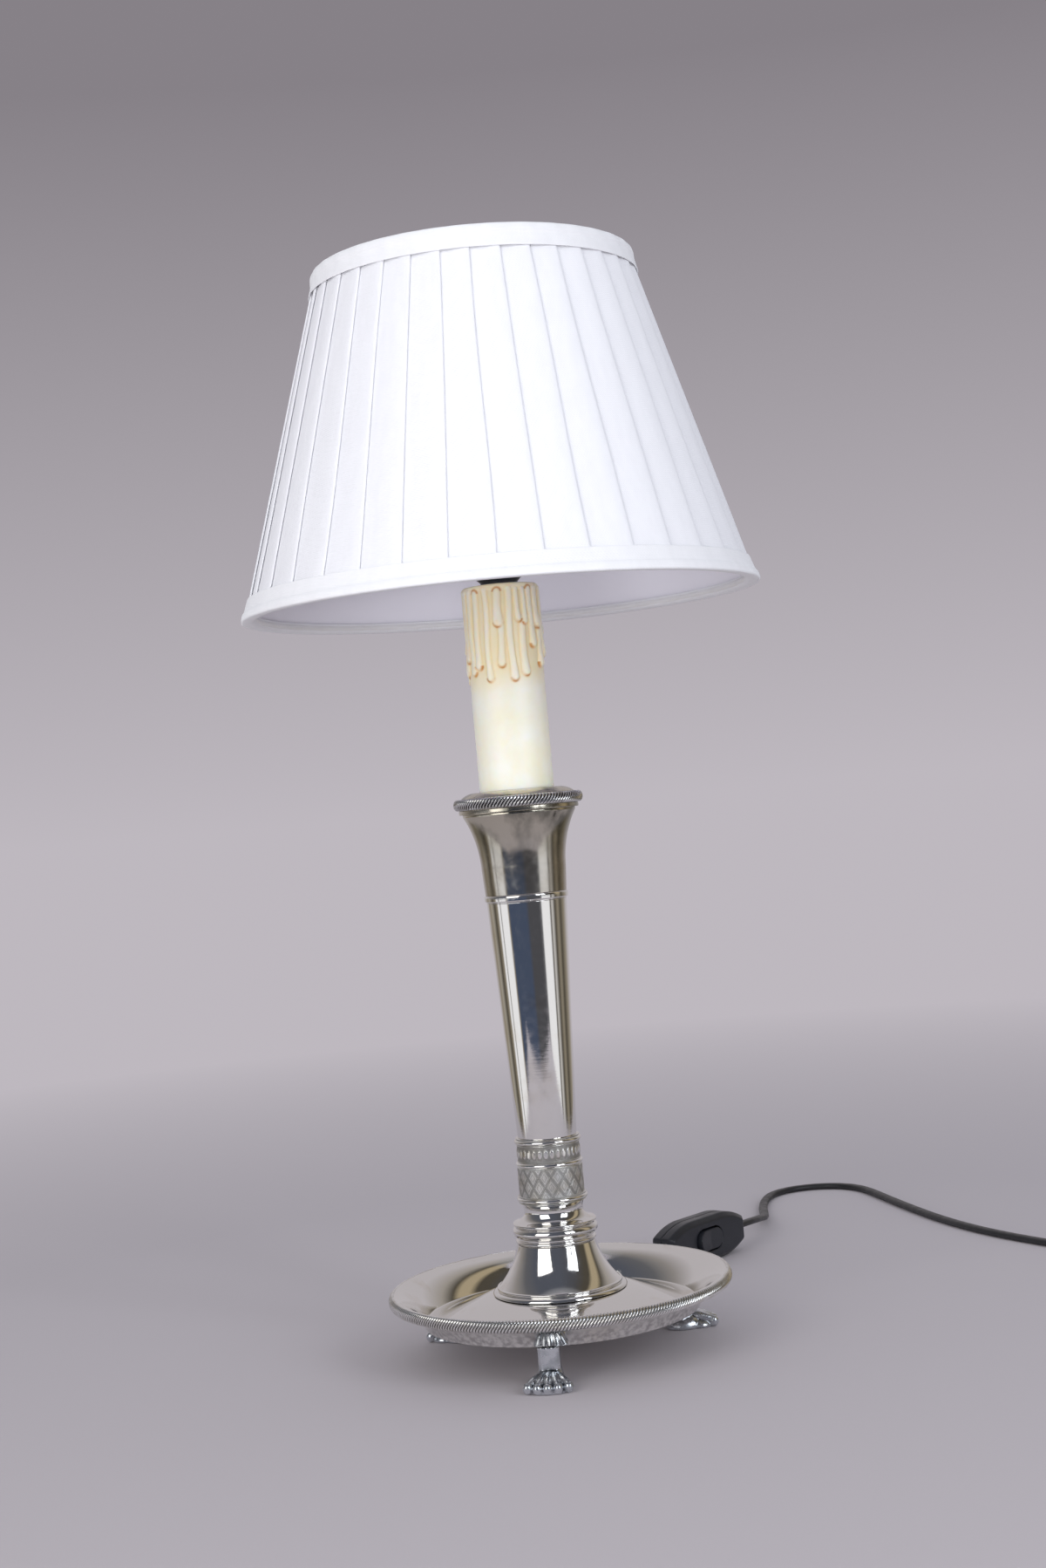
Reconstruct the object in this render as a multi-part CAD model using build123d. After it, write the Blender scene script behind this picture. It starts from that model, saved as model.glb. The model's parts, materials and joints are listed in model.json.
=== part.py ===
from build123d import *
import math
import os

# Table lamp: a plated candlestick on a footed dish, with a candle sleeve, a lampholder,
# a pleated shade and a corded switch. Millimetres, +Z up, lamp axis on Z, floor at Z = 0.

# Clearances and fits
THREAD_GAP = 0.05
SLIP_GAP = 0.15
MOVING_GAP = 0.3

# Paw feet
FOOT_NAMES = ("front", "right", "left")
FOOT_AZIMUTH = -97.0
FOOT_HEIGHT = 18.0
PAW_FRONT = 18.0
PAW_LENGTH = 23.0
PAW_WIDTH = 23.0
PAW_HEEL_WIDTH = 12.0
PAW_HEIGHT = 7.8
PAW_HEEL_HEIGHT = 5.0
PAW_CROWN_SETBACK = 12.0
PAW_CROWN_BOW = 1.0
TOE_COUNT = 4
TOE_TIP_HEIGHT = 4.2
SHANK_WIDTH = 10.0
SHANK_DEPTH = 8.0
SHANK_BEVEL = 1.6

# Dish with its raised middle and rope border
DISH_RADIUS = 83.0
DISH_SHEET = 1.4
DISH_RIM_RISE = 16.0
DISH_WALL_BOW = 2.2
DISH_TROUGH_RADIUS = 65.5
DISH_TROUGH_WIDTH = 5.0
DISH_TROUGH_CORNER = 1.2
DISH_MOUND_RADIUS = 34.0
DISH_MOUND_RISE = 10.3
ROPE_HEIGHT = 5.8
ROPE_PROUD = 2.6

# Bell foot
BELL_HEIGHT = 23.0
BELL_BASE_RADIUS = 32.5
BELL_BASE_STEP = 2.3
BELL_LIP_RADIUS = 30.2
BELL_LIP_HEIGHT = 1.0
BELL_TOP_RADIUS = 18.9
BELL_BOW = 1.6
BELL_WALL = 1.6

# Lower knop
KNOP_FILLET_RADIUS = 19.4
KNOP_FILLET_HEIGHT = 3.4
KNOP_BEAD_RADIUS = 20.6
KNOP_BEAD_HEIGHT = 5.2
KNOP_EDGE_RADIUS = 20.2
KNOP_EDGE_HEIGHT = 1.4
KNOP_COVE_HEIGHT = 9.7
KNOP_COVE_BOW = 3.2
KNOP_BORE = 10.5
BEAD_SWELL = 1.2

# Chased collar: three beads with a lattice band and a small band between them
COLLAR_BEAD_HEIGHT = 3.4
COLLAR_LOW_BEAD_RADIUS = 17.1
COLLAR_BEAD_RADIUS = 16.2
LATTICE_BAND_RADIUS = 15.8
LATTICE_BAND_HEIGHT = 13.4
SMALL_BAND_RADIUS = 15.3
SMALL_BAND_HEIGHT = 7.5
COLLAR_BORE = 11.5

# Column, its ring and the capital
COLUMN_HEIGHT = 113.8
COLUMN_FOOT_RADIUS = 14.3
COLUMN_TOP_RADIUS = 19.4
COLUMN_WALL = 1.5
COLUMN_RING_PROUD = 0.6
COLUMN_RING_HEIGHT = 3.6
CAPITAL_HEIGHT = 39.8
CAPITAL_FOOT_RADIUS = 19.7
CAPITAL_WAIST_RADIUS = 20.5
CAPITAL_WAIST_HEIGHT = 13.0
CAPITAL_TOP_RADIUS = 27.3
CAPITAL_BOW = 1.6
CAPITAL_LIP = 1.0
SPIGOT_HEIGHT = 3.0

# Nozzle plate under the candle
NOZZLE_OVERHANG = 1.7
NOZZLE_FLANGE_HEIGHT = 2.2
NOZZLE_STEP = 1.4
NOZZLE_RISE = 10.3
NOZZLE_DOME_BOW = 0.9
NOZZLE_WALL = 3.3
NOZZLE_HUB_RADIUS = 8.0
NOZZLE_ROPE_HEIGHT = 5.4
NOZZLE_ROPE_DEPTH = 3.65
NOZZLE_ROPE_ROUND = 1.2

# Candle sleeve
SLEEVE_LENGTH = 98.6
SLEEVE_RADIUS = 18.4
SLEEVE_WALL = 2.6
SLEEVE_TOP = 3.0
SLEEVE_SPIGOT_HEIGHT = 4.0

# Threaded lamp rod and what clamps on it
ROD_RADIUS = 5.0
ROD_BORE = 3.5
ROD_TAIL = 1.0
ROD_IN_HOLDER = 8.0
WASHER_RADIUS = 14.0
WASHER_THICKNESS = 1.6
NUT_ACROSS_FLATS = 14.0
NUT_HEIGHT = 5.0
BUSH_FLANGE_RADIUS = 6.0
BUSH_FLANGE = 1.5
BUSH_SPIGOT = 5.5

# Lampholder, small screw size
HOLDER_RADIUS = 14.0
HOLDER_BOSS_RADIUS = 9.0
HOLDER_BOSS_HEIGHT = 2.0
HOLDER_CONE_HEIGHT = 5.0
HOLDER_CAP_HEIGHT = 19.0
HOLDER_FLOOR = 9.0
HOLDER_LEDGE = 2.0
HOLDER_LEDGE_DEPTH = 5.0
HOLDER_WALL = 1.6
CORE_HEIGHT = 24.0
CORE_POCKET_DEPTH = 18.0
SOCKET_RADIUS = 7.2
SOCKET_WALL = 0.5
SKIRT_HEIGHT = 31.0
SKIRT_FLANGE_LIP = 3.5
SKIRT_FLANGE = 2.5
TERMINAL_SIZE = 4.0
TERMINAL_SETOUT = 6.0
LEAF_LENGTH = 10.0
LEAF_WIDTH = 4.0
LEAF_THICKNESS = 0.5
LEAF_BUTTON_RADIUS = 1.5
LEAF_BUTTON_HEIGHT = 1.0
CORE_WIRE_DIAMETER = 1.8
CORE_WIRE_SETOUT = 1.3
CORE_WIRE_BEND = 1.5

# Bulb
BULB_TIP_RADIUS = 2.2
BULB_TIP_HEIGHT = 1.5
BULB_INSULATOR_HEIGHT = 3.0
BULB_INSULATOR_RADIUS = 3.6
BULB_CAP_HEIGHT = 17.5
BULB_CAP_WALL = 0.4
BULB_CAP_FLOOR = 1.0
BULB_COLLAR_HEIGHT = 2.4
BULB_NECK_RADIUS = 8.6
BULB_RADIUS = 17.5
BULB_BELLY_HEIGHT = 25.0
BULB_LENGTH = 75.0
BULB_TIP_ROUND = 2.0
BULB_GLASS = 0.8
BULB_SIDE_BOW = 4.2
BULB_NECK_BOW = 1.5
STEM_RADIUS = 3.2
STEM_HEIGHT = 14.0
STEM_DISC = 1.5
STEM_PIN_RADIUS = 1.2
FILAMENT_COUNT = 4
FILAMENT_RADIUS = 0.8
FILAMENT_LENGTH = 32.0
FILAMENT_SETOUT = 4.5
FILAMENT_HUB_RADIUS = 2.2
FILAMENT_HUB_HEIGHT = 1.6

# Shade
SHADE_DROP = 30.1
SHADE_HEIGHT = 164.7
SHADE_BOTTOM_RADIUS = 125.0
SHADE_TOP_RADIUS = 77.2
SHADE_BAND = 0.9
SHADE_BAND_HEIGHT = 11.0
PLEAT_COUNT = 36
PLEAT_DEPTH = 1.4
PLEAT_FOLD_SHARE = 0.14
PLEAT_SIDES = 2
COVER_CLOTH = 0.5
LINING_WALL = 0.7
SHADE_LAYER_GAP = 0.1
SHADE_WIRE_DIAMETER = 3.0
FITTER_MARGIN = 5.0
FITTER_PLATE = 1.5
ARM_COUNT = 3
ARM_AZIMUTH = 90.0
ARM_DIAMETER = 2.6
ARM_RISE = 8.0
ARM_BEND = 6.0
SHADE_RING_WALL = 6.95
SHADE_RING_HEIGHT = 7.0

# Cord, with its route in (x, y, z)
CORD_DIAMETER = 5.4
ARC_SHARE = 0.45
CORD_FLOOR = CORD_DIAMETER / 2
CORD_STRAIGHT = 12.0

# Switch on the cord, lying on its long edge
SWITCH_CENTRE = (80.0, 172.0)
SWITCH_AZIMUTH = 48.0
SWITCH_LENGTH = 68.0
SWITCH_WIDTH = 25.0
SWITCH_DEPTH = 16.0
SWITCH_STRAIGHT = 24.0
SWITCH_END_WIDTH = 13.0
SWITCH_WALL = 1.8
SWITCH_EDGE = 2.5
SWITCH_CORD_INSERT = 6.0
ROCKER_LENGTH = 24.0
ROCKER_WIDTH = 13.0
ROCKER_GAP = 0.6
ROCKER_PROUD = 1.6
ROCKER_DISH = 1.0
ROCKER_INNER_DEPTH = 6.0
ROCKER_TILT = 6.0
ROCKER_PIVOT_DEPTH = 4.0
ROCKER_PIN_RADIUS = 1.5
ROCKER_PIN_REACH = 9.2
LUG_LENGTH = 8.0
LUG_DEPTH = 4.7
BLOCK_LENGTH = 7.0
BLOCK_WIDTH = 7.0
BLOCK_DEPTH = 6.0
BLOCK_SETOUT = 19.0
STRIP_LENGTH = 17.0
STRIP_WIDTH = 4.0
STRIP_THICKNESS = 0.5
STRIP_DEPTH = 3.0
SCREW_SETOUT = (14.0, 7.4)
SCREW_RADIUS = 1.1
SCREW_HEAD_RADIUS = 2.2
SCREW_HEAD_HEIGHT = 1.5
SCREW_BITE = 4.5
SCREW_BOSS_RADIUS = 2.6

# Coil of spare cord, its tie and the plug
COIL_ENTRY = (296.0, 88.0)
COIL_HEADING = -56.0
COIL_INNER_RADIUS = 24.0
COIL_HALF_TURNS_IN = 4
COIL_HALF_TURNS_OUT = 5
COIL_GAP = 0.6
COIL_LEAD = 6.0
COIL_APPROACH = 20.0
TURN_LENGTH = 20.0
TIE_WIDTH = 5.0
TIE_THICKNESS = 0.5
TIE_GAP = 0.4
TAIL_RUNS = (14.0, 17.0, 20.0, 20.0)
TAIL_DROPS = (0.0, 0.7, 0.3, 0.0)
PLUG_LENGTH = 34.0
PLUG_WIDTH = 35.2
PLUG_REAR_WIDTH = 13.0
PLUG_SHOULDER = 12.0
PLUG_DEPTH = 13.7
PLUG_EDGE = 3.0
PIN_RADIUS = 2.0
PIN_LENGTH = 19.0
PIN_SPACING = 18.6
RELIEF_LENGTH = 20.0
RELIEF_REAR_RADIUS = 3.9
RELIEF_FRONT_RADIUS = 5.6

# Heights of the stack, floor to lampholder
TROUGH_TOP = FOOT_HEIGHT + DISH_SHEET
MOUND_TOP = TROUGH_TOP + DISH_MOUND_RISE
MOUND_UNDER = MOUND_TOP - DISH_SHEET
BELL_TOP = MOUND_TOP + BELL_HEIGHT
KNOP_HEIGHT = KNOP_FILLET_HEIGHT + KNOP_BEAD_HEIGHT + KNOP_EDGE_HEIGHT + KNOP_COVE_HEIGHT
KNOP_TOP = BELL_TOP + KNOP_HEIGHT
COLLAR_TOP = KNOP_TOP + 3 * COLLAR_BEAD_HEIGHT + LATTICE_BAND_HEIGHT + SMALL_BAND_HEIGHT
COLUMN_TOP = COLLAR_TOP + COLUMN_HEIGHT
RING_TOP = COLUMN_TOP + COLUMN_RING_HEIGHT
CAPITAL_TOP = RING_TOP + CAPITAL_HEIGHT
NOZZLE_TOP = CAPITAL_TOP + NOZZLE_RISE
SLEEVE_END = NOZZLE_TOP + SLEEVE_LENGTH
HOLDER_CAP_TOP = SLEEVE_END + HOLDER_CAP_HEIGHT
CORE_BASE = HOLDER_CAP_TOP - HOLDER_LEDGE_DEPTH
CORE_TOP = CORE_BASE + CORE_HEIGHT
POCKET_FLOOR = CORE_TOP - CORE_POCKET_DEPTH
FITTER_BASE = HOLDER_CAP_TOP + SKIRT_FLANGE
FITTER_TOP = FITTER_BASE + FITTER_PLATE
ROD_END = MOUND_UNDER - WASHER_THICKNESS - NUT_HEIGHT - ROD_TAIL
BUSH_END = ROD_END - BUSH_FLANGE
ROD_HEAD = SLEEVE_END + ROD_IN_HOLDER
RISER_HEAD = SLEEVE_END + HOLDER_FLOOR
BULB_BASE = POCKET_FLOOR + LEAF_THICKNESS + LEAF_BUTTON_HEIGHT + MOVING_GAP
CAP_BASE = BULB_BASE + BULB_TIP_HEIGHT + BULB_INSULATOR_HEIGHT
GLASS_BASE = CAP_BASE + BULB_CAP_HEIGHT
SHADE_BASE = FITTER_BASE - SHADE_DROP
SHADE_TOP = SHADE_BASE + SHADE_HEIGHT

# Radii that follow from the pieces they fit
RIM_RADIUS = DISH_RADIUS - ROPE_PROUD
RIM_TOP = FOOT_HEIGHT + DISH_RIM_RISE
TROUGH_INNER = DISH_TROUGH_RADIUS - DISH_TROUGH_WIDTH
UNDER_OUTER = DISH_TROUGH_RADIUS + DISH_TROUGH_CORNER
TROUGH_MIDDLE = (UNDER_OUTER + TROUGH_INNER) / 2
FOOT_REACH = TROUGH_MIDDLE + PAW_FRONT
COLUMN_RING_RADIUS = max(COLUMN_TOP_RADIUS, CAPITAL_FOOT_RADIUS) + COLUMN_RING_PROUD
NOZZLE_FLANGE_RADIUS = CAPITAL_TOP_RADIUS + NOZZLE_OVERHANG
NOZZLE_DRUM_RADIUS = NOZZLE_FLANGE_RADIUS - NOZZLE_STEP
HOLDER_BORE = HOLDER_RADIUS - HOLDER_WALL
SHADE_RING_BORE = HOLDER_RADIUS + THREAD_GAP
SHADE_RING_RADIUS = SHADE_RING_BORE + SHADE_RING_WALL
FITTER_RADIUS = SHADE_RING_RADIUS + FITTER_MARGIN
BULB_CAP_RADIUS = SOCKET_RADIUS - MOVING_GAP
BULB_CAP_BORE = BULB_CAP_RADIUS - BULB_CAP_WALL
ROD_HOLE = ROD_RADIUS + SLIP_GAP
CORD_HOLE = CORD_DIAMETER / 2 + SLIP_GAP


def bowed(start, end, bow):
    """Arc step from start to end, its middle set off to the left of the chord by bow."""
    along = (end[0] - start[0], end[1] - start[1])
    chord = math.hypot(*along)
    middle = ((start[0] + end[0]) / 2, (start[1] + end[1]) / 2)
    via = (middle[0] - bow * along[1] / chord, middle[1] + bow * along[0] / chord)
    return via, end


def outline(start, *steps):
    """Closed face in the XZ plane from (x, z) points; a pair of points is an arc through the first."""
    edges = []
    here = start
    for step in steps:
        arc = isinstance(step[0], tuple)
        end = step[1] if arc else step
        stops = [(x, 0, z) for x, z in ((here, step[0], end) if arc else (here, end))]
        edges.append(ThreePointArc(*stops) if arc else Line(*stops))
        here = end
    if math.dist(here, start) > 0:
        edges.append(Line((here[0], 0, here[1]), (start[0], 0, start[1])))
    return make_face(edges)


def turned(start, *steps):
    """Solid of revolution about the lamp axis from an outline of (radius, height) points."""
    return revolve(outline(start, *steps), Axis.Z)


def tube(inner, outer, base, top):
    """Straight ring about the lamp axis."""
    return turned((inner, base), (outer, base), (outer, top), (inner, top))


def ring_wire(radius, height, diameter):
    """Round wire bent into a closed ring."""
    return Pos(0, 0, height) * Torus(radius, diameter / 2)


def paw_foot():
    """Cast lion paw on a bevelled shank, pointing along +X."""
    heel = FOOT_REACH - PAW_LENGTH
    toe_width = PAW_WIDTH / TOE_COUNT
    toe_root = FOOT_REACH - toe_width / 2
    corner = PAW_WIDTH / 2
    plan = [Line((heel, -PAW_HEEL_WIDTH / 2), (toe_root, -corner))]
    for toe in range(TOE_COUNT):
        side = toe * toe_width - corner
        tip = (FOOT_REACH, side + toe_width / 2)
        plan.append(ThreePointArc((toe_root, side), tip, (toe_root, side + toe_width)))
    plan.append(Line((toe_root, corner), (heel, PAW_HEEL_WIDTH / 2)))
    plan.append(Line((heel, PAW_HEEL_WIDTH / 2), (heel, -PAW_HEEL_WIDTH / 2)))
    toe_top = (FOOT_REACH, TOE_TIP_HEIGHT)
    crown = (FOOT_REACH - PAW_CROWN_SETBACK, PAW_HEIGHT)
    side_view = outline((heel, 0), (FOOT_REACH, 0), toe_top,
                        bowed(toe_top, crown, -PAW_CROWN_BOW), (heel, PAW_HEEL_HEIGHT))
    paw = extrude(make_face(plan), PAW_HEIGHT) & extrude(side_view, PAW_WIDTH, both=True)
    shank_base = PAW_HEEL_HEIGHT / 2
    shank = Pos(TROUGH_MIDDLE, 0, (FOOT_HEIGHT + shank_base) / 2) * Box(
        SHANK_DEPTH, SHANK_WIDTH, FOOT_HEIGHT - shank_base)
    shank = chamfer(shank.edges().filter_by(Axis.Z), SHANK_BEVEL)
    return paw + shank


def paw_feet():
    """One foot for each name, evenly round the dish."""
    step = 360 / len(FOOT_NAMES)
    return {f"paw_foot_{name}": Rot(0, 0, FOOT_AZIMUTH + turn * step) * paw_foot()
            for turn, name in enumerate(FOOT_NAMES)}


def dish():
    """Spun dish: raised middle, narrow trough where the feet are soldered, wall that flares to the rim."""
    under_edge = (UNDER_OUTER, FOOT_HEIGHT)
    rim_under = (RIM_RADIUS, RIM_TOP - DISH_SHEET)
    rim = (RIM_RADIUS, RIM_TOP)
    trough_edge = (DISH_TROUGH_RADIUS, TROUGH_TOP)
    return turned(
        (ROD_HOLE, MOUND_UNDER), (DISH_MOUND_RADIUS, MOUND_UNDER), (TROUGH_INNER, FOOT_HEIGHT), under_edge,
        bowed(under_edge, rim_under, DISH_WALL_BOW), rim, bowed(rim, trough_edge, -DISH_WALL_BOW),
        (TROUGH_INNER, TROUGH_TOP), (DISH_MOUND_RADIUS, MOUND_TOP), (ROD_HOLE, MOUND_TOP))


def dish_rope():
    """Half-round rope border, soldered round the edge of the rim."""
    foot = (RIM_RADIUS, RIM_TOP - ROPE_HEIGHT)
    return turned(foot, ((DISH_RADIUS, RIM_TOP - ROPE_HEIGHT / 2), (RIM_RADIUS, RIM_TOP)))


def bell_foot():
    """Hollow flared foot of the column, with a stepped base and a rolled lip."""
    step_top = MOUND_TOP + BELL_BASE_STEP
    lip_top = step_top + BELL_LIP_HEIGHT
    lip = (BELL_LIP_RADIUS, lip_top)
    top = (BELL_TOP_RADIUS, BELL_TOP)
    inner_top = (BELL_TOP_RADIUS - BELL_WALL, BELL_TOP)
    inner_lip = (BELL_LIP_RADIUS - BELL_WALL, lip_top)
    return turned(
        (BELL_LIP_RADIUS - BELL_WALL, MOUND_TOP), (BELL_BASE_RADIUS, MOUND_TOP),
        bowed((BELL_BASE_RADIUS, MOUND_TOP), (BELL_LIP_RADIUS, step_top), -BELL_LIP_HEIGHT / 2),
        lip, bowed(lip, top, BELL_BOW), inner_top, bowed(inner_top, inner_lip, -BELL_BOW))


def bead(radius, base, height):
    """Half-round bead step on a turned outline, going up."""
    neck = radius - BEAD_SWELL
    return [(neck, base), ((radius, base + height / 2), (neck, base + height))]


def lower_knop():
    """Turned knop: fillet, main bead, thin edge and cove, with a spigot into the bell."""
    bead_base = BELL_TOP + KNOP_FILLET_HEIGHT
    edge_base = bead_base + KNOP_BEAD_HEIGHT
    cove_base = edge_base + KNOP_EDGE_HEIGHT
    spigot = BELL_TOP_RADIUS - BELL_WALL - SLIP_GAP
    cove_foot = (KNOP_EDGE_RADIUS - BEAD_SWELL / 2, cove_base)
    cove_top = (COLLAR_LOW_BEAD_RADIUS - BEAD_SWELL, KNOP_TOP)
    return turned(
        (KNOP_BORE, BELL_TOP - SPIGOT_HEIGHT), (spigot, BELL_TOP - SPIGOT_HEIGHT), (spigot, BELL_TOP),
        *bead(KNOP_FILLET_RADIUS, BELL_TOP, KNOP_FILLET_HEIGHT),
        *bead(KNOP_BEAD_RADIUS, bead_base, KNOP_BEAD_HEIGHT),
        (KNOP_EDGE_RADIUS, edge_base), (KNOP_EDGE_RADIUS, cove_base), cove_foot,
        bowed(cove_foot, cove_top, KNOP_COVE_BOW), (KNOP_BORE, KNOP_TOP))


def chased_collar():
    """Collar of three beads, the lattice band and the small band."""
    lattice_base = KNOP_TOP + COLLAR_BEAD_HEIGHT
    middle_base = lattice_base + LATTICE_BAND_HEIGHT
    small_base = middle_base + COLLAR_BEAD_HEIGHT
    upper_base = small_base + SMALL_BAND_HEIGHT
    return turned(
        (COLLAR_BORE, KNOP_TOP), *bead(COLLAR_LOW_BEAD_RADIUS, KNOP_TOP, COLLAR_BEAD_HEIGHT),
        (LATTICE_BAND_RADIUS, lattice_base), (LATTICE_BAND_RADIUS, middle_base),
        *bead(COLLAR_BEAD_RADIUS, middle_base, COLLAR_BEAD_HEIGHT),
        (SMALL_BAND_RADIUS, small_base), (SMALL_BAND_RADIUS, upper_base),
        *bead(COLLAR_BEAD_RADIUS, upper_base, COLLAR_BEAD_HEIGHT), (COLLAR_BORE, COLLAR_TOP))


def column_tube():
    """Plain tapered tube of the column."""
    return turned(
        (COLUMN_FOOT_RADIUS - COLUMN_WALL, COLLAR_TOP), (COLUMN_FOOT_RADIUS, COLLAR_TOP),
        (COLUMN_TOP_RADIUS, COLUMN_TOP), (COLUMN_TOP_RADIUS - COLUMN_WALL, COLUMN_TOP))


def column_ring():
    """Ring between column and capital, with a spigot into each."""
    spigot = min(COLUMN_TOP_RADIUS, CAPITAL_FOOT_RADIUS) - COLUMN_WALL - MOVING_GAP
    bore = spigot - COLUMN_WALL
    return turned(
        (bore, COLUMN_TOP - SPIGOT_HEIGHT), (spigot, COLUMN_TOP - SPIGOT_HEIGHT), (spigot, COLUMN_TOP),
        (COLUMN_RING_RADIUS, COLUMN_TOP), (COLUMN_RING_RADIUS, RING_TOP), (spigot, RING_TOP),
        (spigot, RING_TOP + SPIGOT_HEIGHT), (bore, RING_TOP + SPIGOT_HEIGHT))


def capital():
    """Trumpet-shaped capital, hollow, with a thin lip at the top."""
    waist = (CAPITAL_WAIST_RADIUS, RING_TOP + CAPITAL_WAIST_HEIGHT)
    flare = (CAPITAL_TOP_RADIUS, CAPITAL_TOP - CAPITAL_LIP)
    inner_flare = (CAPITAL_TOP_RADIUS - COLUMN_WALL, CAPITAL_TOP - CAPITAL_LIP)
    inner_waist = (CAPITAL_WAIST_RADIUS - COLUMN_WALL, waist[1])
    return turned(
        (CAPITAL_FOOT_RADIUS - COLUMN_WALL, RING_TOP), (CAPITAL_FOOT_RADIUS, RING_TOP), waist,
        bowed(waist, flare, CAPITAL_BOW), (CAPITAL_TOP_RADIUS, CAPITAL_TOP),
        (CAPITAL_TOP_RADIUS - COLUMN_WALL, CAPITAL_TOP), inner_flare,
        bowed(inner_flare, inner_waist, -CAPITAL_BOW))


def nozzle_plate():
    """Domed plate that closes the capital, hollow below, with a spigot for the candle sleeve."""
    flange_top = CAPITAL_TOP + NOZZLE_FLANGE_HEIGHT
    drum_top = flange_top + NOZZLE_ROPE_HEIGHT
    spigot = CAPITAL_TOP_RADIUS - COLUMN_WALL - SLIP_GAP
    sleeve_spigot = SLEEVE_RADIUS - SLEEVE_WALL - SLIP_GAP
    shoulder = (NOZZLE_DRUM_RADIUS, drum_top)
    seat = (SLEEVE_RADIUS + SLEEVE_WALL / 2, NOZZLE_TOP)
    solid = turned(
        (ROD_HOLE, CAPITAL_TOP - CAPITAL_LIP), (spigot, CAPITAL_TOP - CAPITAL_LIP),
        (spigot, CAPITAL_TOP), (NOZZLE_FLANGE_RADIUS, CAPITAL_TOP), (NOZZLE_FLANGE_RADIUS, flange_top),
        (NOZZLE_DRUM_RADIUS, flange_top), shoulder, bowed(shoulder, seat, -NOZZLE_DOME_BOW),
        (sleeve_spigot, NOZZLE_TOP), (sleeve_spigot, NOZZLE_TOP + SLEEVE_SPIGOT_HEIGHT),
        (ROD_HOLE, NOZZLE_TOP + SLEEVE_SPIGOT_HEIGHT))
    hollow = tube(NOZZLE_HUB_RADIUS, spigot - COLUMN_WALL, CAPITAL_TOP - CAPITAL_LIP,
                  NOZZLE_TOP - NOZZLE_WALL)
    return solid - hollow


def nozzle_rope():
    """Rope border round the nozzle plate, flat where it meets the plate."""
    base = CAPITAL_TOP + NOZZLE_FLANGE_HEIGHT
    top = base + NOZZLE_ROPE_HEIGHT
    inner = NOZZLE_DRUM_RADIUS + SLIP_GAP
    outer = inner + NOZZLE_ROPE_DEPTH
    shoulder = outer - NOZZLE_ROPE_ROUND
    return turned((inner, base), (shoulder, base), ((outer, (base + top) / 2), (shoulder, top)), (inner, top))


def hexagon_nut(base):
    """Nut on the lamp rod."""
    nut = Pos(0, 0, base) * extrude(RegularPolygon(NUT_ACROSS_FLATS / 2, 6, major_radius=False), NUT_HEIGHT)
    return nut - tube(0, ROD_RADIUS + THREAD_GAP, base, base + NUT_HEIGHT)


def rod_pieces():
    """Lamp rod, its washer and nuts, and the bush that guides the cord out."""
    washer_base = MOUND_UNDER - WASHER_THICKNESS
    bush_spigot = ROD_BORE - THREAD_GAP
    return {
        "lamp_rod": tube(ROD_BORE, ROD_RADIUS, ROD_END, ROD_HEAD),
        "rod_washer": tube(ROD_HOLE, WASHER_RADIUS, washer_base, MOUND_UNDER),
        "rod_nut": hexagon_nut(washer_base - NUT_HEIGHT),
        "stem_nut": hexagon_nut(NOZZLE_TOP + SLEEVE_SPIGOT_HEIGHT),
        "rod_bush": turned(
            (CORD_HOLE, BUSH_END), (BUSH_FLANGE_RADIUS, BUSH_END), (BUSH_FLANGE_RADIUS, ROD_END),
            (bush_spigot, ROD_END), (bush_spigot, ROD_END + BUSH_SPIGOT), (CORD_HOLE, ROD_END + BUSH_SPIGOT)),
    }


def candle_sleeve():
    """Hollow candle-shaped sleeve, closed at the top round the rod."""
    bore = SLEEVE_RADIUS - SLEEVE_WALL
    return turned(
        (bore, NOZZLE_TOP), (SLEEVE_RADIUS, NOZZLE_TOP), (SLEEVE_RADIUS, SLEEVE_END),
        (ROD_HOLE, SLEEVE_END), (ROD_HOLE, SLEEVE_END - SLEEVE_TOP), (bore, SLEEVE_END - SLEEVE_TOP))


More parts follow.
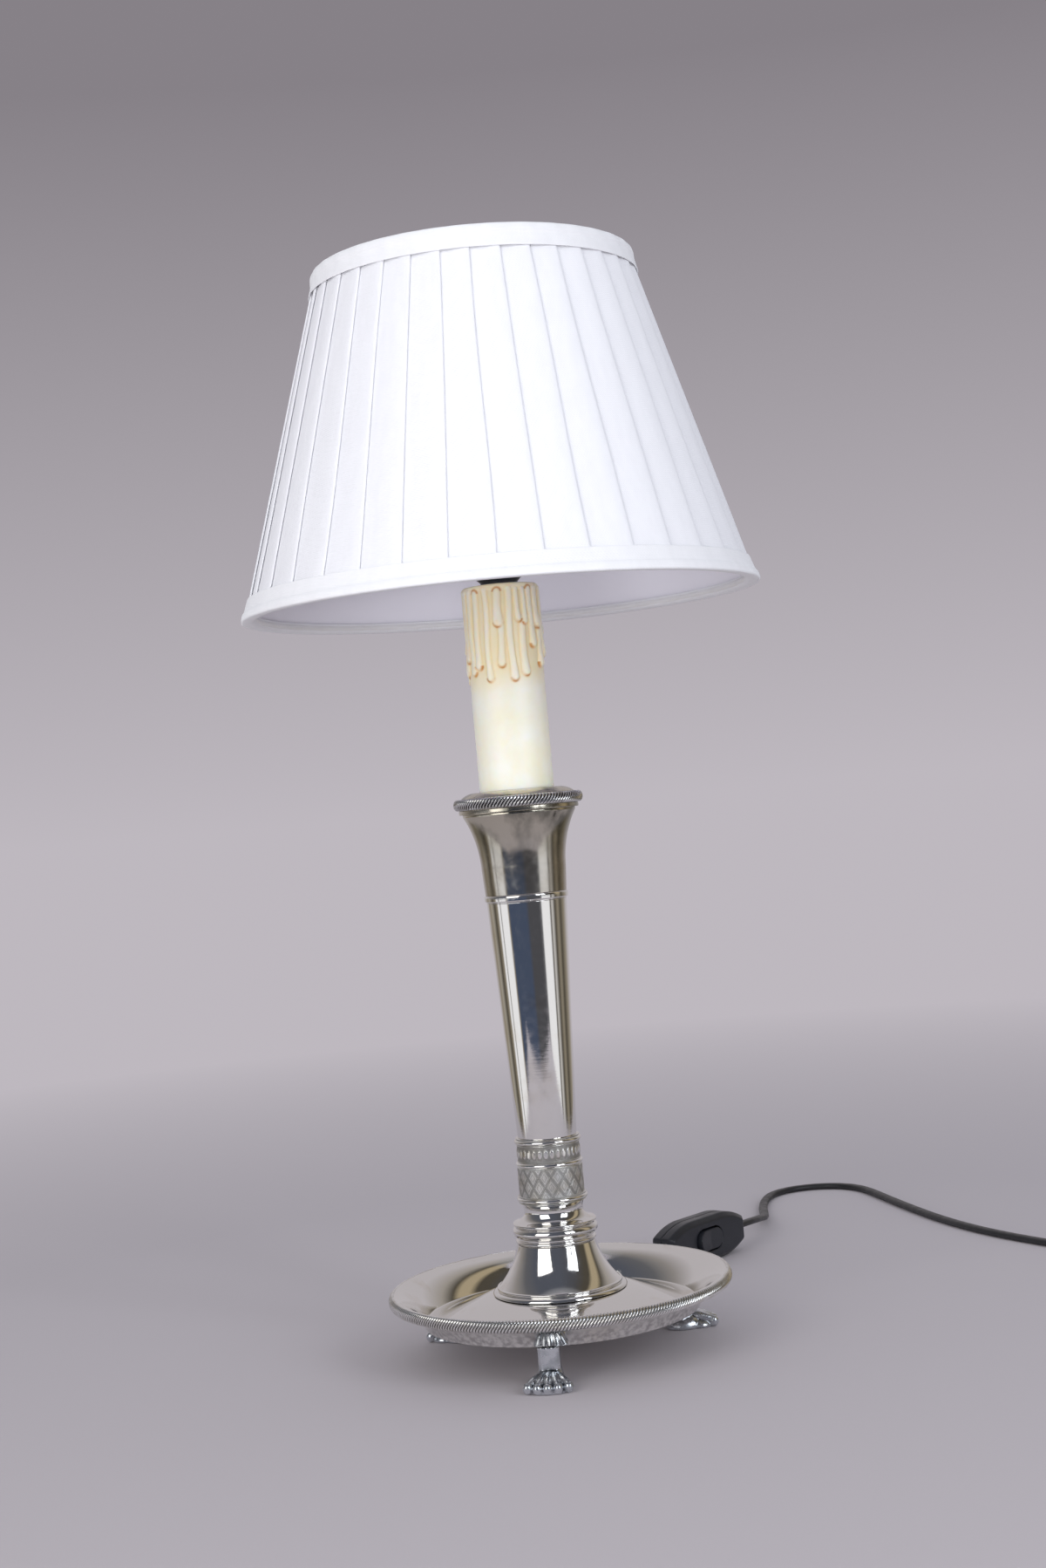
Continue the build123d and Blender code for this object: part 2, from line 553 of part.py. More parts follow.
def holder_pieces():
    """Lampholder: cap on the rod, insulating core, screw shell, contacts, wires and outer skirt."""
    rod_thread = ROD_RADIUS + THREAD_GAP
    boss_top = SLEEVE_END + HOLDER_BOSS_HEIGHT
    cone_top = boss_top + HOLDER_CONE_HEIGHT
    floor = SLEEVE_END + HOLDER_FLOOR
    cavity = HOLDER_BORE - HOLDER_LEDGE
    flange = HOLDER_RADIUS + SKIRT_FLANGE_LIP
    core_radius = HOLDER_BORE - MOVING_GAP
    pocket = SOCKET_RADIUS + SOCKET_WALL + SLIP_GAP
    leaf = Pos(0, 0, POCKET_FLOOR + LEAF_THICKNESS / 2) * Box(LEAF_LENGTH, LEAF_WIDTH, LEAF_THICKNESS)
    button = tube(0, LEAF_BUTTON_RADIUS, POCKET_FLOOR, POCKET_FLOOR + LEAF_THICKNESS + LEAF_BUTTON_HEIGHT)
    terminal_z = CORE_BASE - TERMINAL_SIZE / 2
    terminals = []
    wires = []
    for side in (-1, 1):
        terminals.append(Pos(side * TERMINAL_SETOUT, 0, terminal_z) * Box(*[TERMINAL_SIZE] * 3))
        path = FilletPolyline(
            (side * CORE_WIRE_SETOUT, 0, RISER_HEAD), (side * CORE_WIRE_SETOUT, 0, terminal_z),
            (side * (TERMINAL_SETOUT - TERMINAL_SIZE / 2), 0, terminal_z), radius=CORE_WIRE_BEND)
        wires.append(sweep(Plane(path @ 0, z_dir=path % 0) * Circle(CORE_WIRE_DIAMETER / 2), path=path))
    return {
        "holder_cap": turned(
            (rod_thread, SLEEVE_END), (HOLDER_BOSS_RADIUS, SLEEVE_END), (HOLDER_BOSS_RADIUS, boss_top),
            (HOLDER_RADIUS, cone_top), (HOLDER_RADIUS, HOLDER_CAP_TOP), (HOLDER_BORE, HOLDER_CAP_TOP),
            (HOLDER_BORE, CORE_BASE), (cavity, CORE_BASE), (cavity, floor), (rod_thread, floor)),
        "holder_core": turned(
            (0, CORE_BASE), (core_radius, CORE_BASE), (core_radius, CORE_TOP), (pocket, CORE_TOP),
            (pocket, POCKET_FLOOR), (0, POCKET_FLOOR)),
        "holder_shell": tube(SOCKET_RADIUS, SOCKET_RADIUS + SOCKET_WALL, POCKET_FLOOR, CORE_TOP),
        "holder_contact": leaf + button,
        "holder_terminals": Compound(terminals),
        "holder_wires": Compound(wires),
        "holder_skirt": turned(
            (HOLDER_BORE, HOLDER_CAP_TOP), (flange, HOLDER_CAP_TOP), (flange, FITTER_BASE),
            (HOLDER_RADIUS, FITTER_BASE), (HOLDER_RADIUS, HOLDER_CAP_TOP + SKIRT_HEIGHT),
            (HOLDER_BORE, HOLDER_CAP_TOP + SKIRT_HEIGHT)),
    }


def bulb_pieces():
    """Candle bulb with its screw cap, glass and filament sticks."""
    insulator_base = BULB_BASE + BULB_TIP_HEIGHT
    neck = (BULB_NECK_RADIUS, GLASS_BASE)
    belly = (BULB_RADIUS, GLASS_BASE + BULB_BELLY_HEIGHT)
    tip = (BULB_TIP_ROUND, GLASS_BASE + BULB_LENGTH)
    inner_neck = (BULB_NECK_RADIUS - BULB_GLASS, GLASS_BASE)
    inner_belly = (BULB_RADIUS - BULB_GLASS, belly[1])
    inner_tip = (BULB_TIP_ROUND, tip[1] - BULB_GLASS)
    glass = turned(
        inner_neck, neck, bowed(neck, belly, BULB_NECK_BOW), bowed(belly, tip, -BULB_SIDE_BOW),
        (0, tip[1]), (0, inner_tip[1]), inner_tip, bowed(inner_tip, inner_belly, BULB_SIDE_BOW),
        bowed(inner_belly, inner_neck, -BULB_NECK_BOW))
    disc_radius = BULB_CAP_BORE - THREAD_GAP
    stem_top = GLASS_BASE + STEM_HEIGHT
    filament_base = stem_top + FILAMENT_HUB_HEIGHT / 2
    filament_top = filament_base + FILAMENT_LENGTH
    stem = turned(
        (0, GLASS_BASE - STEM_DISC), (disc_radius, GLASS_BASE - STEM_DISC), (disc_radius, GLASS_BASE),
        (STEM_RADIUS, GLASS_BASE), (STEM_RADIUS, stem_top), (STEM_PIN_RADIUS, stem_top),
        (STEM_PIN_RADIUS, filament_top + FILAMENT_HUB_HEIGHT), (0, filament_top + FILAMENT_HUB_HEIGHT))
    filaments = []
    for hub_base in (filament_base, filament_top - FILAMENT_HUB_HEIGHT):
        filaments.append(tube(STEM_PIN_RADIUS + THREAD_GAP, FILAMENT_HUB_RADIUS, hub_base,
                              hub_base + FILAMENT_HUB_HEIGHT))
    arm = FILAMENT_SETOUT - (STEM_PIN_RADIUS + FILAMENT_HUB_RADIUS) / 2
    for turn in range(FILAMENT_COUNT):
        spin = Rot(0, 0, turn * 360 / FILAMENT_COUNT)
        stick = Pos(FILAMENT_SETOUT, 0, (filament_base + filament_top) / 2) * Cylinder(
            FILAMENT_RADIUS, FILAMENT_LENGTH)
        filaments.append(spin * stick)
        for hub_base in (filament_base, filament_top - FILAMENT_HUB_HEIGHT):
            bar = Pos(FILAMENT_SETOUT - arm / 2, 0, hub_base + FILAMENT_HUB_HEIGHT / 2) * Box(
                arm, FILAMENT_RADIUS, FILAMENT_RADIUS)
            filaments.append(spin * bar)
    return {
        "bulb_contact": tube(0, BULB_TIP_RADIUS, BULB_BASE, insulator_base),
        "bulb_insulator": turned(
            (0, insulator_base), (BULB_INSULATOR_RADIUS, insulator_base),
            (BULB_CAP_BORE, CAP_BASE), (0, CAP_BASE)),
        "bulb_cap": turned(
            (0, CAP_BASE), (BULB_CAP_RADIUS, CAP_BASE), (BULB_CAP_RADIUS, GLASS_BASE - BULB_COLLAR_HEIGHT),
            (BULB_NECK_RADIUS, GLASS_BASE), (BULB_CAP_BORE, GLASS_BASE),
            (BULB_CAP_BORE, CAP_BASE + BULB_CAP_FLOOR), (0, CAP_BASE + BULB_CAP_FLOOR)),
        "bulb_glass": glass,
        "bulb_stem": stem,
        "bulb_filaments": filaments[0].fuse(*filaments[1:]),
    }


def shade_radius(height, inset):
    """Radius of the shade's cone at a height, set in from its outermost face."""
    share = (height - SHADE_BASE) / SHADE_HEIGHT
    return SHADE_BOTTOM_RADIUS + (SHADE_TOP_RADIUS - SHADE_BOTTOM_RADIUS) * share - inset


def cone_shell(base, top, outer_inset, inner_inset):
    """Conical wall between two insets of the shade's cone."""
    return turned(
        (shade_radius(base, inner_inset), base), (shade_radius(base, outer_inset), base),
        (shade_radius(top, outer_inset), top), (shade_radius(top, inner_inset), top))


def pleat_section(height):
    """Face of the pleated cloth at one height: each knife pleat climbs to a crest and folds back."""
    crest = shade_radius(height, SHADE_BAND + SHADE_LAYER_GAP)
    pitch = 360 / PLEAT_COUNT
    corners = []
    for pleat in range(PLEAT_COUNT):
        for radius, share in ((crest - PLEAT_DEPTH, 0), (crest, 1 - PLEAT_FOLD_SHARE)):
            angle = math.radians((pleat + share) * pitch)
            corners.append((radius * math.cos(angle), radius * math.sin(angle), height))
    return make_face(Polyline(*corners, close=True))


def core_section(height, inset):
    """Space inside the pleats at one height: a many-sided face round the lining, two sides to a pleat."""
    return Pos(0, 0, height) * RegularPolygon(
        shade_radius(height, inset), PLEAT_SIDES * PLEAT_COUNT, major_radius=False)


def shade_pieces():
    """Pleated cover over a stiff lining, taped edges, wire rings, and the fitter with its arms."""
    cloth_base = SHADE_BASE + SHADE_BAND + SHADE_LAYER_GAP
    cloth_top = SHADE_TOP - SHADE_BAND - SHADE_LAYER_GAP
    cover_inner = SHADE_BAND + SHADE_LAYER_GAP + PLEAT_DEPTH + COVER_CLOTH
    lining_outer = cover_inner + SHADE_LAYER_GAP
    lining_inner = lining_outer + LINING_WALL
    wire_inset = lining_inner + SHADE_LAYER_GAP + SHADE_WIRE_DIAMETER / 2
    lip_inset = wire_inset + SHADE_WIRE_DIAMETER / 2
    pleats = loft([pleat_section(cloth_base), pleat_section(cloth_top)], ruled=True)
    core = loft([core_section(cloth_base, cover_inner), core_section(cloth_top, cover_inner)], ruled=True)
    wire_low = SHADE_BASE + SHADE_BAND + SHADE_LAYER_GAP + SHADE_WIRE_DIAMETER / 2
    wire_high = SHADE_TOP - SHADE_BAND - SHADE_LAYER_GAP - SHADE_WIRE_DIAMETER / 2
    top_wire = shade_radius(wire_high, wire_inset)
    pieces = {
        "shade_cover": pleats - core,
        "shade_lining": cone_shell(cloth_base, cloth_top, lining_outer, lining_inner),
        "shade_bottom_band": cone_shell(SHADE_BASE, SHADE_BASE + SHADE_BAND_HEIGHT, 0, SHADE_BAND)
        + cone_shell(SHADE_BASE, SHADE_BASE + SHADE_BAND, 0, lip_inset),
        "shade_top_band": cone_shell(SHADE_TOP - SHADE_BAND_HEIGHT, SHADE_TOP, 0, SHADE_BAND)
        + cone_shell(SHADE_TOP - SHADE_BAND, SHADE_TOP, 0, lip_inset),
        "shade_bottom_wire": ring_wire(shade_radius(wire_low, wire_inset), wire_low, SHADE_WIRE_DIAMETER),
        "shade_top_wire": ring_wire(top_wire, wire_high, SHADE_WIRE_DIAMETER),
        "shade_fitter": tube(HOLDER_RADIUS + MOVING_GAP, FITTER_RADIUS, FITTER_BASE, FITTER_TOP),
    }
    arm_start = (SHADE_RING_RADIUS + FITTER_RADIUS) / 2
    arm_end = top_wire - (SHADE_WIRE_DIAMETER + ARM_DIAMETER) / 2 - SHADE_LAYER_GAP
    arm_path = FilletPolyline(
        (arm_start, 0, FITTER_TOP), (arm_start, 0, FITTER_TOP + ARM_RISE),
        (arm_end, 0, wire_high - ARM_RISE), (arm_end, 0, wire_high), radius=ARM_BEND)
    arm = sweep(Plane(arm_path @ 0, z_dir=arm_path % 0) * Circle(ARM_DIAMETER / 2), path=arm_path)
    for turn in range(ARM_COUNT):
        pieces[f"shade_arm_{turn + 1}"] = Rot(0, 0, ARM_AZIMUTH + turn * 360 / ARM_COUNT) * arm
    return pieces


def shade_ring():
    """Threaded ring that keeps the fitter on the lampholder's flange, left loose enough for the shade to turn."""
    base = FITTER_TOP + MOVING_GAP
    return tube(SHADE_RING_BORE, SHADE_RING_RADIUS, base, base + SHADE_RING_HEIGHT)


def switch_plan(inset):
    """Outline of the switch in its length and width, drawn in by inset."""
    half_length = SWITCH_LENGTH / 2 - inset
    half_width = SWITCH_WIDTH / 2 - inset
    half_end = SWITCH_END_WIDTH / 2 - inset
    straight = SWITCH_STRAIGHT / 2
    taper = (half_length - straight, half_width - half_end)
    bow = -math.hypot(*taper) / 2 * math.tan(math.atan2(taper[1], taper[0]) / 2)
    return outline(
        (-straight, -half_width), (straight, -half_width),
        bowed((straight, -half_width), (half_length, -half_end), bow),
        (half_length, half_end), bowed((half_length, half_end), (straight, half_width), bow),
        (-straight, half_width), bowed((-straight, half_width), (-half_length, half_end), bow),
        (-half_length, -half_end), bowed((-half_length, -half_end), (-straight, -half_width), bow))


def rod_along_y(radius, start, end):
    """Round rod along Y between two depths."""
    return Pos(0, (start + end) / 2, 0) * Rot(90, 0, 0) * Cylinder(radius, end - start)


def rocker_body():
    """Oval rocker with its pivot stubs, level, its face towards -Y."""
    half = ROCKER_LENGTH / 2 - ROCKER_GAP
    width = ROCKER_WIDTH - 2 * ROCKER_GAP
    face = -SWITCH_DEPTH / 2 - ROCKER_PROUD
    inner = -SWITCH_DEPTH / 2 + ROCKER_INNER_DEPTH
    oval = extrude(Plane.XZ * SlotOverall(2 * half, width), SWITCH_DEPTH)
    profile = make_face(Polyline(
        (-half, inner), (half, inner), (half, face), (0, face + ROCKER_DISH), (-half, face), close=True))
    stubs = Pos(0, -ROCKER_PIVOT_DEPTH, 0) * Cylinder(ROCKER_PIN_RADIUS, 2 * ROCKER_PIN_REACH)
    return (oval & extrude(profile, width, both=True)) + stubs


def switch_pieces():
    """Two-part switch case with its rocker, terminals, contact strip and screws, laid on its edge."""
    half_depth = SWITCH_DEPTH / 2
    inner_depth = half_depth - SWITCH_WALL
    shell = extrude(switch_plan(0), half_depth, both=True)
    rims = shell.faces().sort_by(Axis.Y)
    shell = chamfer(rims[0].edges() + rims[-1].edges(), SWITCH_EDGE)
    shell -= extrude(switch_plan(SWITCH_WALL), inner_depth, both=True)
    shell -= Rot(0, 90, 0) * Cylinder(CORD_HOLE, SWITCH_LENGTH)
    room = Box(2 * SWITCH_LENGTH, 2 * SWITCH_DEPTH, 2 * SWITCH_WIDTH)
    front = shell - Pos(0, SWITCH_DEPTH, 0) * room
    back = shell - Pos(0, -SWITCH_DEPTH, 0) * room
    lug_inner = ROCKER_WIDTH / 2 + ROCKER_GAP
    lug_outer = SWITCH_WIDTH / 2 - SWITCH_WALL
    screws = []
    for side in (-1, 1):
        lug_middle = (-(inner_depth - LUG_DEPTH / 2), side * (lug_inner + lug_outer) / 2)
        front += Pos(0, *lug_middle) * Box(LUG_LENGTH, LUG_DEPTH, lug_outer - lug_inner)
        spot = Pos(side * SCREW_SETOUT[0], 0, side * SCREW_SETOUT[1])
        head_base = half_depth - SCREW_HEAD_HEIGHT
        front += spot * rod_along_y(SCREW_BOSS_RADIUS, -inner_depth, 0)
        front -= spot * rod_along_y(SCREW_RADIUS + THREAD_GAP, -SCREW_BITE, 0)
        back += spot * rod_along_y(SCREW_BOSS_RADIUS, 0, half_depth)
        back -= spot * rod_along_y(SCREW_RADIUS + SLIP_GAP, 0, half_depth)
        back -= spot * rod_along_y(SCREW_HEAD_RADIUS + SLIP_GAP, head_base, half_depth)
        screws.append(spot * (rod_along_y(SCREW_RADIUS, -SCREW_BITE, head_base)
                              + rod_along_y(SCREW_HEAD_RADIUS, head_base, half_depth)))
    front -= extrude(Plane.XZ * SlotOverall(ROCKER_LENGTH, ROCKER_WIDTH), SWITCH_DEPTH)
    pivot = Pos(0, -ROCKER_PIVOT_DEPTH, 0)
    front -= pivot * Cylinder(ROCKER_PIN_RADIUS + THREAD_GAP, 2 * (ROCKER_PIN_REACH + MOVING_GAP))
    blocks = [Pos(side * BLOCK_SETOUT, inner_depth - BLOCK_DEPTH / 2, 0)
              * Box(BLOCK_LENGTH, BLOCK_DEPTH, BLOCK_WIDTH) for side in (-1, 1)]
    strip_start = -BLOCK_SETOUT + BLOCK_LENGTH / 2
    strip = Pos(strip_start + STRIP_LENGTH / 2, STRIP_DEPTH, 0) * Box(
        STRIP_LENGTH, STRIP_THICKNESS, STRIP_WIDTH)
    rocker = pivot * Rot(0, 0, ROCKER_TILT) * pivot.inverse() * rocker_body()
    place = Pos(*SWITCH_CENTRE, SWITCH_WIDTH / 2) * Rot(0, 0, SWITCH_AZIMUTH)
    pieces = {"switch_front": front, "switch_back": back, "switch_rocker": rocker,
              "switch_terminals": Compound(blocks), "switch_strip": strip, "switch_screws": Compound(screws)}
    return {name: place * piece for name, piece in pieces.items()}


def switch_point(along):
    """Point on the switch's long axis, measured from its middle."""
    turn = math.radians(SWITCH_AZIMUTH)
    return (SWITCH_CENTRE[0] + along * math.cos(turn), SWITCH_CENTRE[1] + along * math.sin(turn),
            SWITCH_WIDTH / 2)


def swept_cord(path):
    """Round cord along a path, its volume compared with its section times its length."""
    cord = sweep(Plane(path @ 0, z_dir=path % 0) * Circle(CORD_DIAMETER / 2), path=path)
    expected = math.pi * CORD_DIAMETER ** 2 / 4 * path.length
    print(f"  length {path.length:.1f} mm, volume over expected {cord.volume / expected:.4f}")
    return cord


def cord_along(points):
    """Cord along a route: straight runs joined by arcs as large as the runs allow."""
    route = [Vector(*point) for point in points]
    radii = []
    for before, corner, after in zip(route, route[1:], route[2:]):
        run_in = corner - before
        run_out = after - corner
        half_turn = math.radians(run_in.get_angle(run_out)) / 2
        radii.append(ARC_SHARE * min(run_in.length, run_out.length) / math.tan(half_turn))
    print("  bend radii " + " ".join(f"{radius:.0f}" for radius in radii))
    return swept_cord(FilletPolyline(*route, radius=radii))


def coil_place():
    """Frame of the coil: X from its middle to the entry, Y along the cord as it enters."""
    outer = COIL_INNER_RADIUS + COIL_HALF_TURNS_IN * (CORD_DIAMETER + COIL_GAP) / 2
    place = Pos(*COIL_ENTRY, 0) * Rot(0, 0, COIL_HEADING - 90) * Pos(-outer, 0, 0)
    return place, outer


def coil_heights():
    """Heights of the coil's two layers, the lower one resting on the tie."""
    lower = CORD_FLOOR + TIE_THICKNESS + TIE_GAP
    return lower, lower + CORD_DIAMETER + COIL_GAP


def coil_path():
    """Spiral in on the lower layer, half a turn up, and spiral out on the upper layer."""
    half_step = (CORD_DIAMETER + COIL_GAP) / 2
    lower, upper = coil_heights()
    inward = [COIL_INNER_RADIUS + half_step * turn for turn in range(COIL_HALF_TURNS_IN, 0, -1)]
    outward = [COIL_INNER_RADIUS + half_step * turn for turn in range(1, COIL_HALF_TURNS_OUT + 1)]
    x = inward[0]
    edges = [Line((x, -COIL_LEAD, lower), (x, 0, lower))]
    side = 1
    for height, radii in ((lower, inward), (None, [COIL_INNER_RADIUS]), (upper, outward)):
        for radius in radii:
            end = x - side * 2 * radius
            if height is None:
                top = ((x + end) / 2, side * radius, (lower + upper) / 2)
                edges.append(TangentArc((x, 0, lower), top, tangent=(0, side, 0)))
                edges.append(TangentArc((end, 0, upper), top, tangent=(0, side, 0)))
            else:
                top = ((x + end) / 2, side * radius, height)
                edges.append(ThreePointArc((x, 0, height), top, (end, 0, height)))
            x = end
            side = -side
    edges.append(Line((x, 0, upper), (x, COIL_LEAD, upper)))
    return Wire(edges), x


def least_gap(path):
    """Least gap between turns, measured on points along the path."""
    count = int(path.length / (CORD_DIAMETER / 2))
    points = [path @ (step / count) for step in range(count + 1)]
    apart = int(TURN_LENGTH / (path.length / count))
    nearest = min((points[a] - points[b]).length
                  for a in range(count + 1) for b in range(a + apart, count + 1))
    return nearest - CORD_DIAMETER


def cord_pieces():
    """Cord from the rod to the plug: riser, lead to the switch, run, coil with its tie, and tail."""
    bush = (0, 0, BUSH_END)
    lead_in = switch_point(SWITCH_CORD_INSERT - SWITCH_LENGTH / 2)
    lead_out = switch_point(SWITCH_LENGTH / 2 - SWITCH_CORD_INSERT)
    lower, upper = coil_heights()
    place, outer = coil_place()
    entry = place * Pos(outer, -COIL_LEAD, lower)
    before_entry = place * Pos(outer, -COIL_LEAD - COIL_APPROACH, lower)
    lead = [bush, (0, 0, 11.5), (1.6, 3.7, 6.0), (4.5, 10.0, 3.1), (9.6, 21.5, CORD_FLOOR),
            (15.2, 41.0, CORD_FLOOR), (21.8, 62.0, CORD_FLOOR), (29.0, 83.0, 3.4), (36.5, 103.5, 6.3),
            (42.5, 121.5, 10.2), switch_point(-SWITCH_LENGTH / 2 - CORD_STRAIGHT), lead_in]
    run = [lead_out, switch_point(SWITCH_LENGTH / 2 + CORD_STRAIGHT),
           (121.0, 231.0, 9.4), (125.5, 254.0, 5.6), (127.6, 277.0, 3.3),
           (129.4, 300.5, CORD_FLOOR), (133.0, 323.0, CORD_FLOOR),
           (139.2, 342.0, CORD_FLOOR), (151.2, 354.0, CORD_FLOOR), (167.7, 358.1, CORD_FLOOR),
           (184.0, 353.2, CORD_FLOOR), (195.4, 340.5, CORD_FLOOR), (201.2, 321.4, CORD_FLOOR),
           (206.0, 298.0, CORD_FLOOR), (211.5, 273.0, CORD_FLOOR), (217.5, 248.0, CORD_FLOOR),
           (224.5, 222.0, CORD_FLOOR), (233.0, 197.0, CORD_FLOOR), (243.5, 172.5, CORD_FLOOR),
           (256.0, 149.5, CORD_FLOOR), (269.0, 128.5, CORD_FLOOR),
           tuple(before_entry.position), tuple(entry.position)]
    winding, exit_x = coil_path()
    tail_start = Vector(exit_x, COIL_LEAD + THREAD_GAP, upper)
    tail = [tail_start]
    for length, drop in zip(TAIL_RUNS, TAIL_DROPS):
        tail.append(tail[-1] + Vector(0, length, -drop * (upper - PLUG_DEPTH / 2)))
    print("cord_lead")
    lead_cord = cord_along(lead)
    print("cord_run")
    run_cord = cord_along(run)
    print("cord_tail")
    tail_cord = place * cord_along(tail)
    print("cord_coil")
    coil = place * swept_cord(winding)
    print(f"  least gap between turns {least_gap(winding):.2f} mm")
    inner = COIL_INNER_RADIUS - CORD_DIAMETER / 2 - TIE_GAP
    window = outer + CORD_DIAMETER / 2 + TIE_GAP - inner
    height = upper + CORD_DIAMETER / 2 + TIE_GAP - TIE_THICKNESS
    tie = Box(TIE_WIDTH, window + 2 * TIE_THICKNESS, height + 2 * TIE_THICKNESS)
    tie -= Box(2 * TIE_WIDTH, window, height)
    tie_place = place * Pos(0, inner + window / 2, TIE_THICKNESS + height / 2)
    plug_place = place * Pos(*tail[-1]) * Rot(0, 0, 90)
    riser = tube(0, CORD_DIAMETER / 2, BUSH_END, RISER_HEAD)
    return {"cord_riser": riser, "cord_lead": lead_cord, "cord_run": run_cord, "cord_coil": coil,
            "cord_tail": tail_cord, "cord_tie": tie_place * tie, **plug_pieces(plug_place)}


def plug_pieces(place):
    """Flat two-pin plug, its rear face at the end of the cord and its pins along +X."""
    half = PLUG_WIDTH / 2
    rear = PLUG_REAR_WIDTH / 2
    shoulder = PLUG_LENGTH - PLUG_SHOULDER
    plan = make_face(Polyline(
        (0, -rear), (shoulder, -half), (PLUG_LENGTH, -half), (PLUG_LENGTH, half), (shoulder, half),
        (0, rear), close=True))
    body = extrude(plan, PLUG_DEPTH / 2, both=True)
    body = chamfer(body.edges().filter_by(Axis.Z).sort_by(Axis.X)[2:], PLUG_EDGE / 2)
    long_edges = body.faces().sort_by(Axis.Z)[0].edges() + body.faces().sort_by(Axis.Z)[-1].edges()
    body = chamfer(long_edges, PLUG_EDGE / 2)
    pins = [Pos(PLUG_LENGTH + PIN_LENGTH / 2, side * PIN_SPACING / 2, 0) * Rot(0, 90, 0)
            * Cylinder(PIN_RADIUS, PIN_LENGTH) for side in (-1, 1)]
    relief = Pos(-RELIEF_LENGTH / 2, 0, 0) * Rot(0, 90, 0) * (
        Cone(RELIEF_REAR_RADIUS, RELIEF_FRONT_RADIUS, RELIEF_LENGTH) - Cylinder(CORD_HOLE, RELIEF_LENGTH))
    pieces = {"plug_body": body, "plug_relief": relief, "plug_pins": Compound(pins)}
    return {name: place * piece for name, piece in pieces.items()}


nodes = {
    **paw_feet(),
    "dish": dish(),
    "dish_rope": dish_rope(),
    "bell_foot": bell_foot(),
    "lower_knop": lower_knop(),
    "chased_collar": chased_collar(),
    "column_tube": column_tube(),
    "column_ring": column_ring(),
    "capital": capital(),
    "nozzle_plate": nozzle_plate(),
    "nozzle_rope": nozzle_rope(),
    **rod_pieces(),
    "candle_sleeve": candle_sleeve(),
    **holder_pieces(),
    **bulb_pieces(),
    **shade_pieces(),
    "shade_ring": shade_ring(),
    **switch_pieces(),
    **cord_pieces(),
}

os.makedirs("parts", exist_ok=True)
for node_name, node in nodes.items():
    node.label = node_name
    export_step(node, f"parts/{node_name}.step")
print(len(nodes), "nodes")
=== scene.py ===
# %% [markdown]
# A plated candlestick lamp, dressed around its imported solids. The frame gives every solid in its place, in
# metres, and this file adds what the eye sees: the polished and tarnished plate, the wax drips, the pleats
# and the laid cord. Each step says what the real piece is, how it could be made, and why it is made this
# way.

# %% Load the frame
import json
import math

import bmesh
import bpy
import numpy as np
from mathutils import Matrix, Vector


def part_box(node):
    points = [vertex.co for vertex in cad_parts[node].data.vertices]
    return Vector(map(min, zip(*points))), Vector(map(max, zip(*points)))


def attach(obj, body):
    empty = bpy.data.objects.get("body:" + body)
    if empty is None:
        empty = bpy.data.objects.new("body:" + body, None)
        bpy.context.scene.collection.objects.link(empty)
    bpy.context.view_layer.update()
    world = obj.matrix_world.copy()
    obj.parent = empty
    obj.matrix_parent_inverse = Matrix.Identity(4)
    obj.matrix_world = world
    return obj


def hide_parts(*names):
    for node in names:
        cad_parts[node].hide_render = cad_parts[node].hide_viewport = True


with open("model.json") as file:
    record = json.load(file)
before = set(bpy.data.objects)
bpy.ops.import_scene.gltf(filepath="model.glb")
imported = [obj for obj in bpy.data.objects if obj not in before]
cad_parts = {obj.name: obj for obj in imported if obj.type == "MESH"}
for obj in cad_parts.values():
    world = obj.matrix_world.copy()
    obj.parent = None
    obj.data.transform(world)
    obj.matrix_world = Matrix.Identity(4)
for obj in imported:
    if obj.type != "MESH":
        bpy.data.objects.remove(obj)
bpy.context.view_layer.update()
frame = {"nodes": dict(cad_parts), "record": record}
MM = 0.001

# %% [markdown]
# The camera comes first, because the cord's lay is judged by what it sees. It could be pointed with a Track
# To constraint, but the picture leans by five degrees, so its axes are built from yaw, pitch and roll:
# forward, then a level right and up, then both turned about forward.

# %% Camera
PHOTO_HEIGHT = 1798
FOCAL_PIXELS = 2508
SENSOR_WIDTH = 36
CAMERA_PLACE = Vector((0, -1.0579, 0.26275))
YAW, PITCH, ROLL = 0.0029477, -0.010118, -0.087032


def placed(name, data):
    """New object in the scene that shows a mesh, a curve, a lamp or a camera."""
    made = bpy.data.objects.new(name, data)
    bpy.context.scene.collection.objects.link(made)
    return made


forward = Vector((math.sin(YAW) * math.cos(PITCH), math.cos(YAW) * math.cos(PITCH), -math.sin(PITCH)))
level_right = forward.cross(Vector((0, 0, 1))).normalized()
level_up = level_right.cross(forward)
camera_right = level_right * math.cos(ROLL) + level_up * math.sin(ROLL)
camera_up = level_up * math.cos(ROLL) - level_right * math.sin(ROLL)

camera_data = bpy.data.cameras.new("camera")
camera_data.sensor_width = SENSOR_WIDTH
camera_data.lens = SENSOR_WIDTH * FOCAL_PIXELS / PHOTO_HEIGHT
camera = placed("camera", camera_data)
axes = Matrix((camera_right, camera_up, -forward)).transposed().to_4x4()
camera.matrix_world = Matrix.Translation(CAMERA_PLACE) @ axes
bpy.context.scene.camera = camera
bpy.context.scene.view_settings.view_transform = "Standard"
print("lens", round(camera_data.lens, 2), "mm")

# %% [markdown]
# Every finish is a small tree of shader nodes. Adding a node takes four lines each time, so one helper makes
# a node, sets its options and fills its sockets, with a number, a colour or another node's output. The other
# helpers are the moves that the finishes repeat: a noise, a range, a mix of two colours, a sum of two
# numbers, a bump, and a whole finish that wanders between two shades.

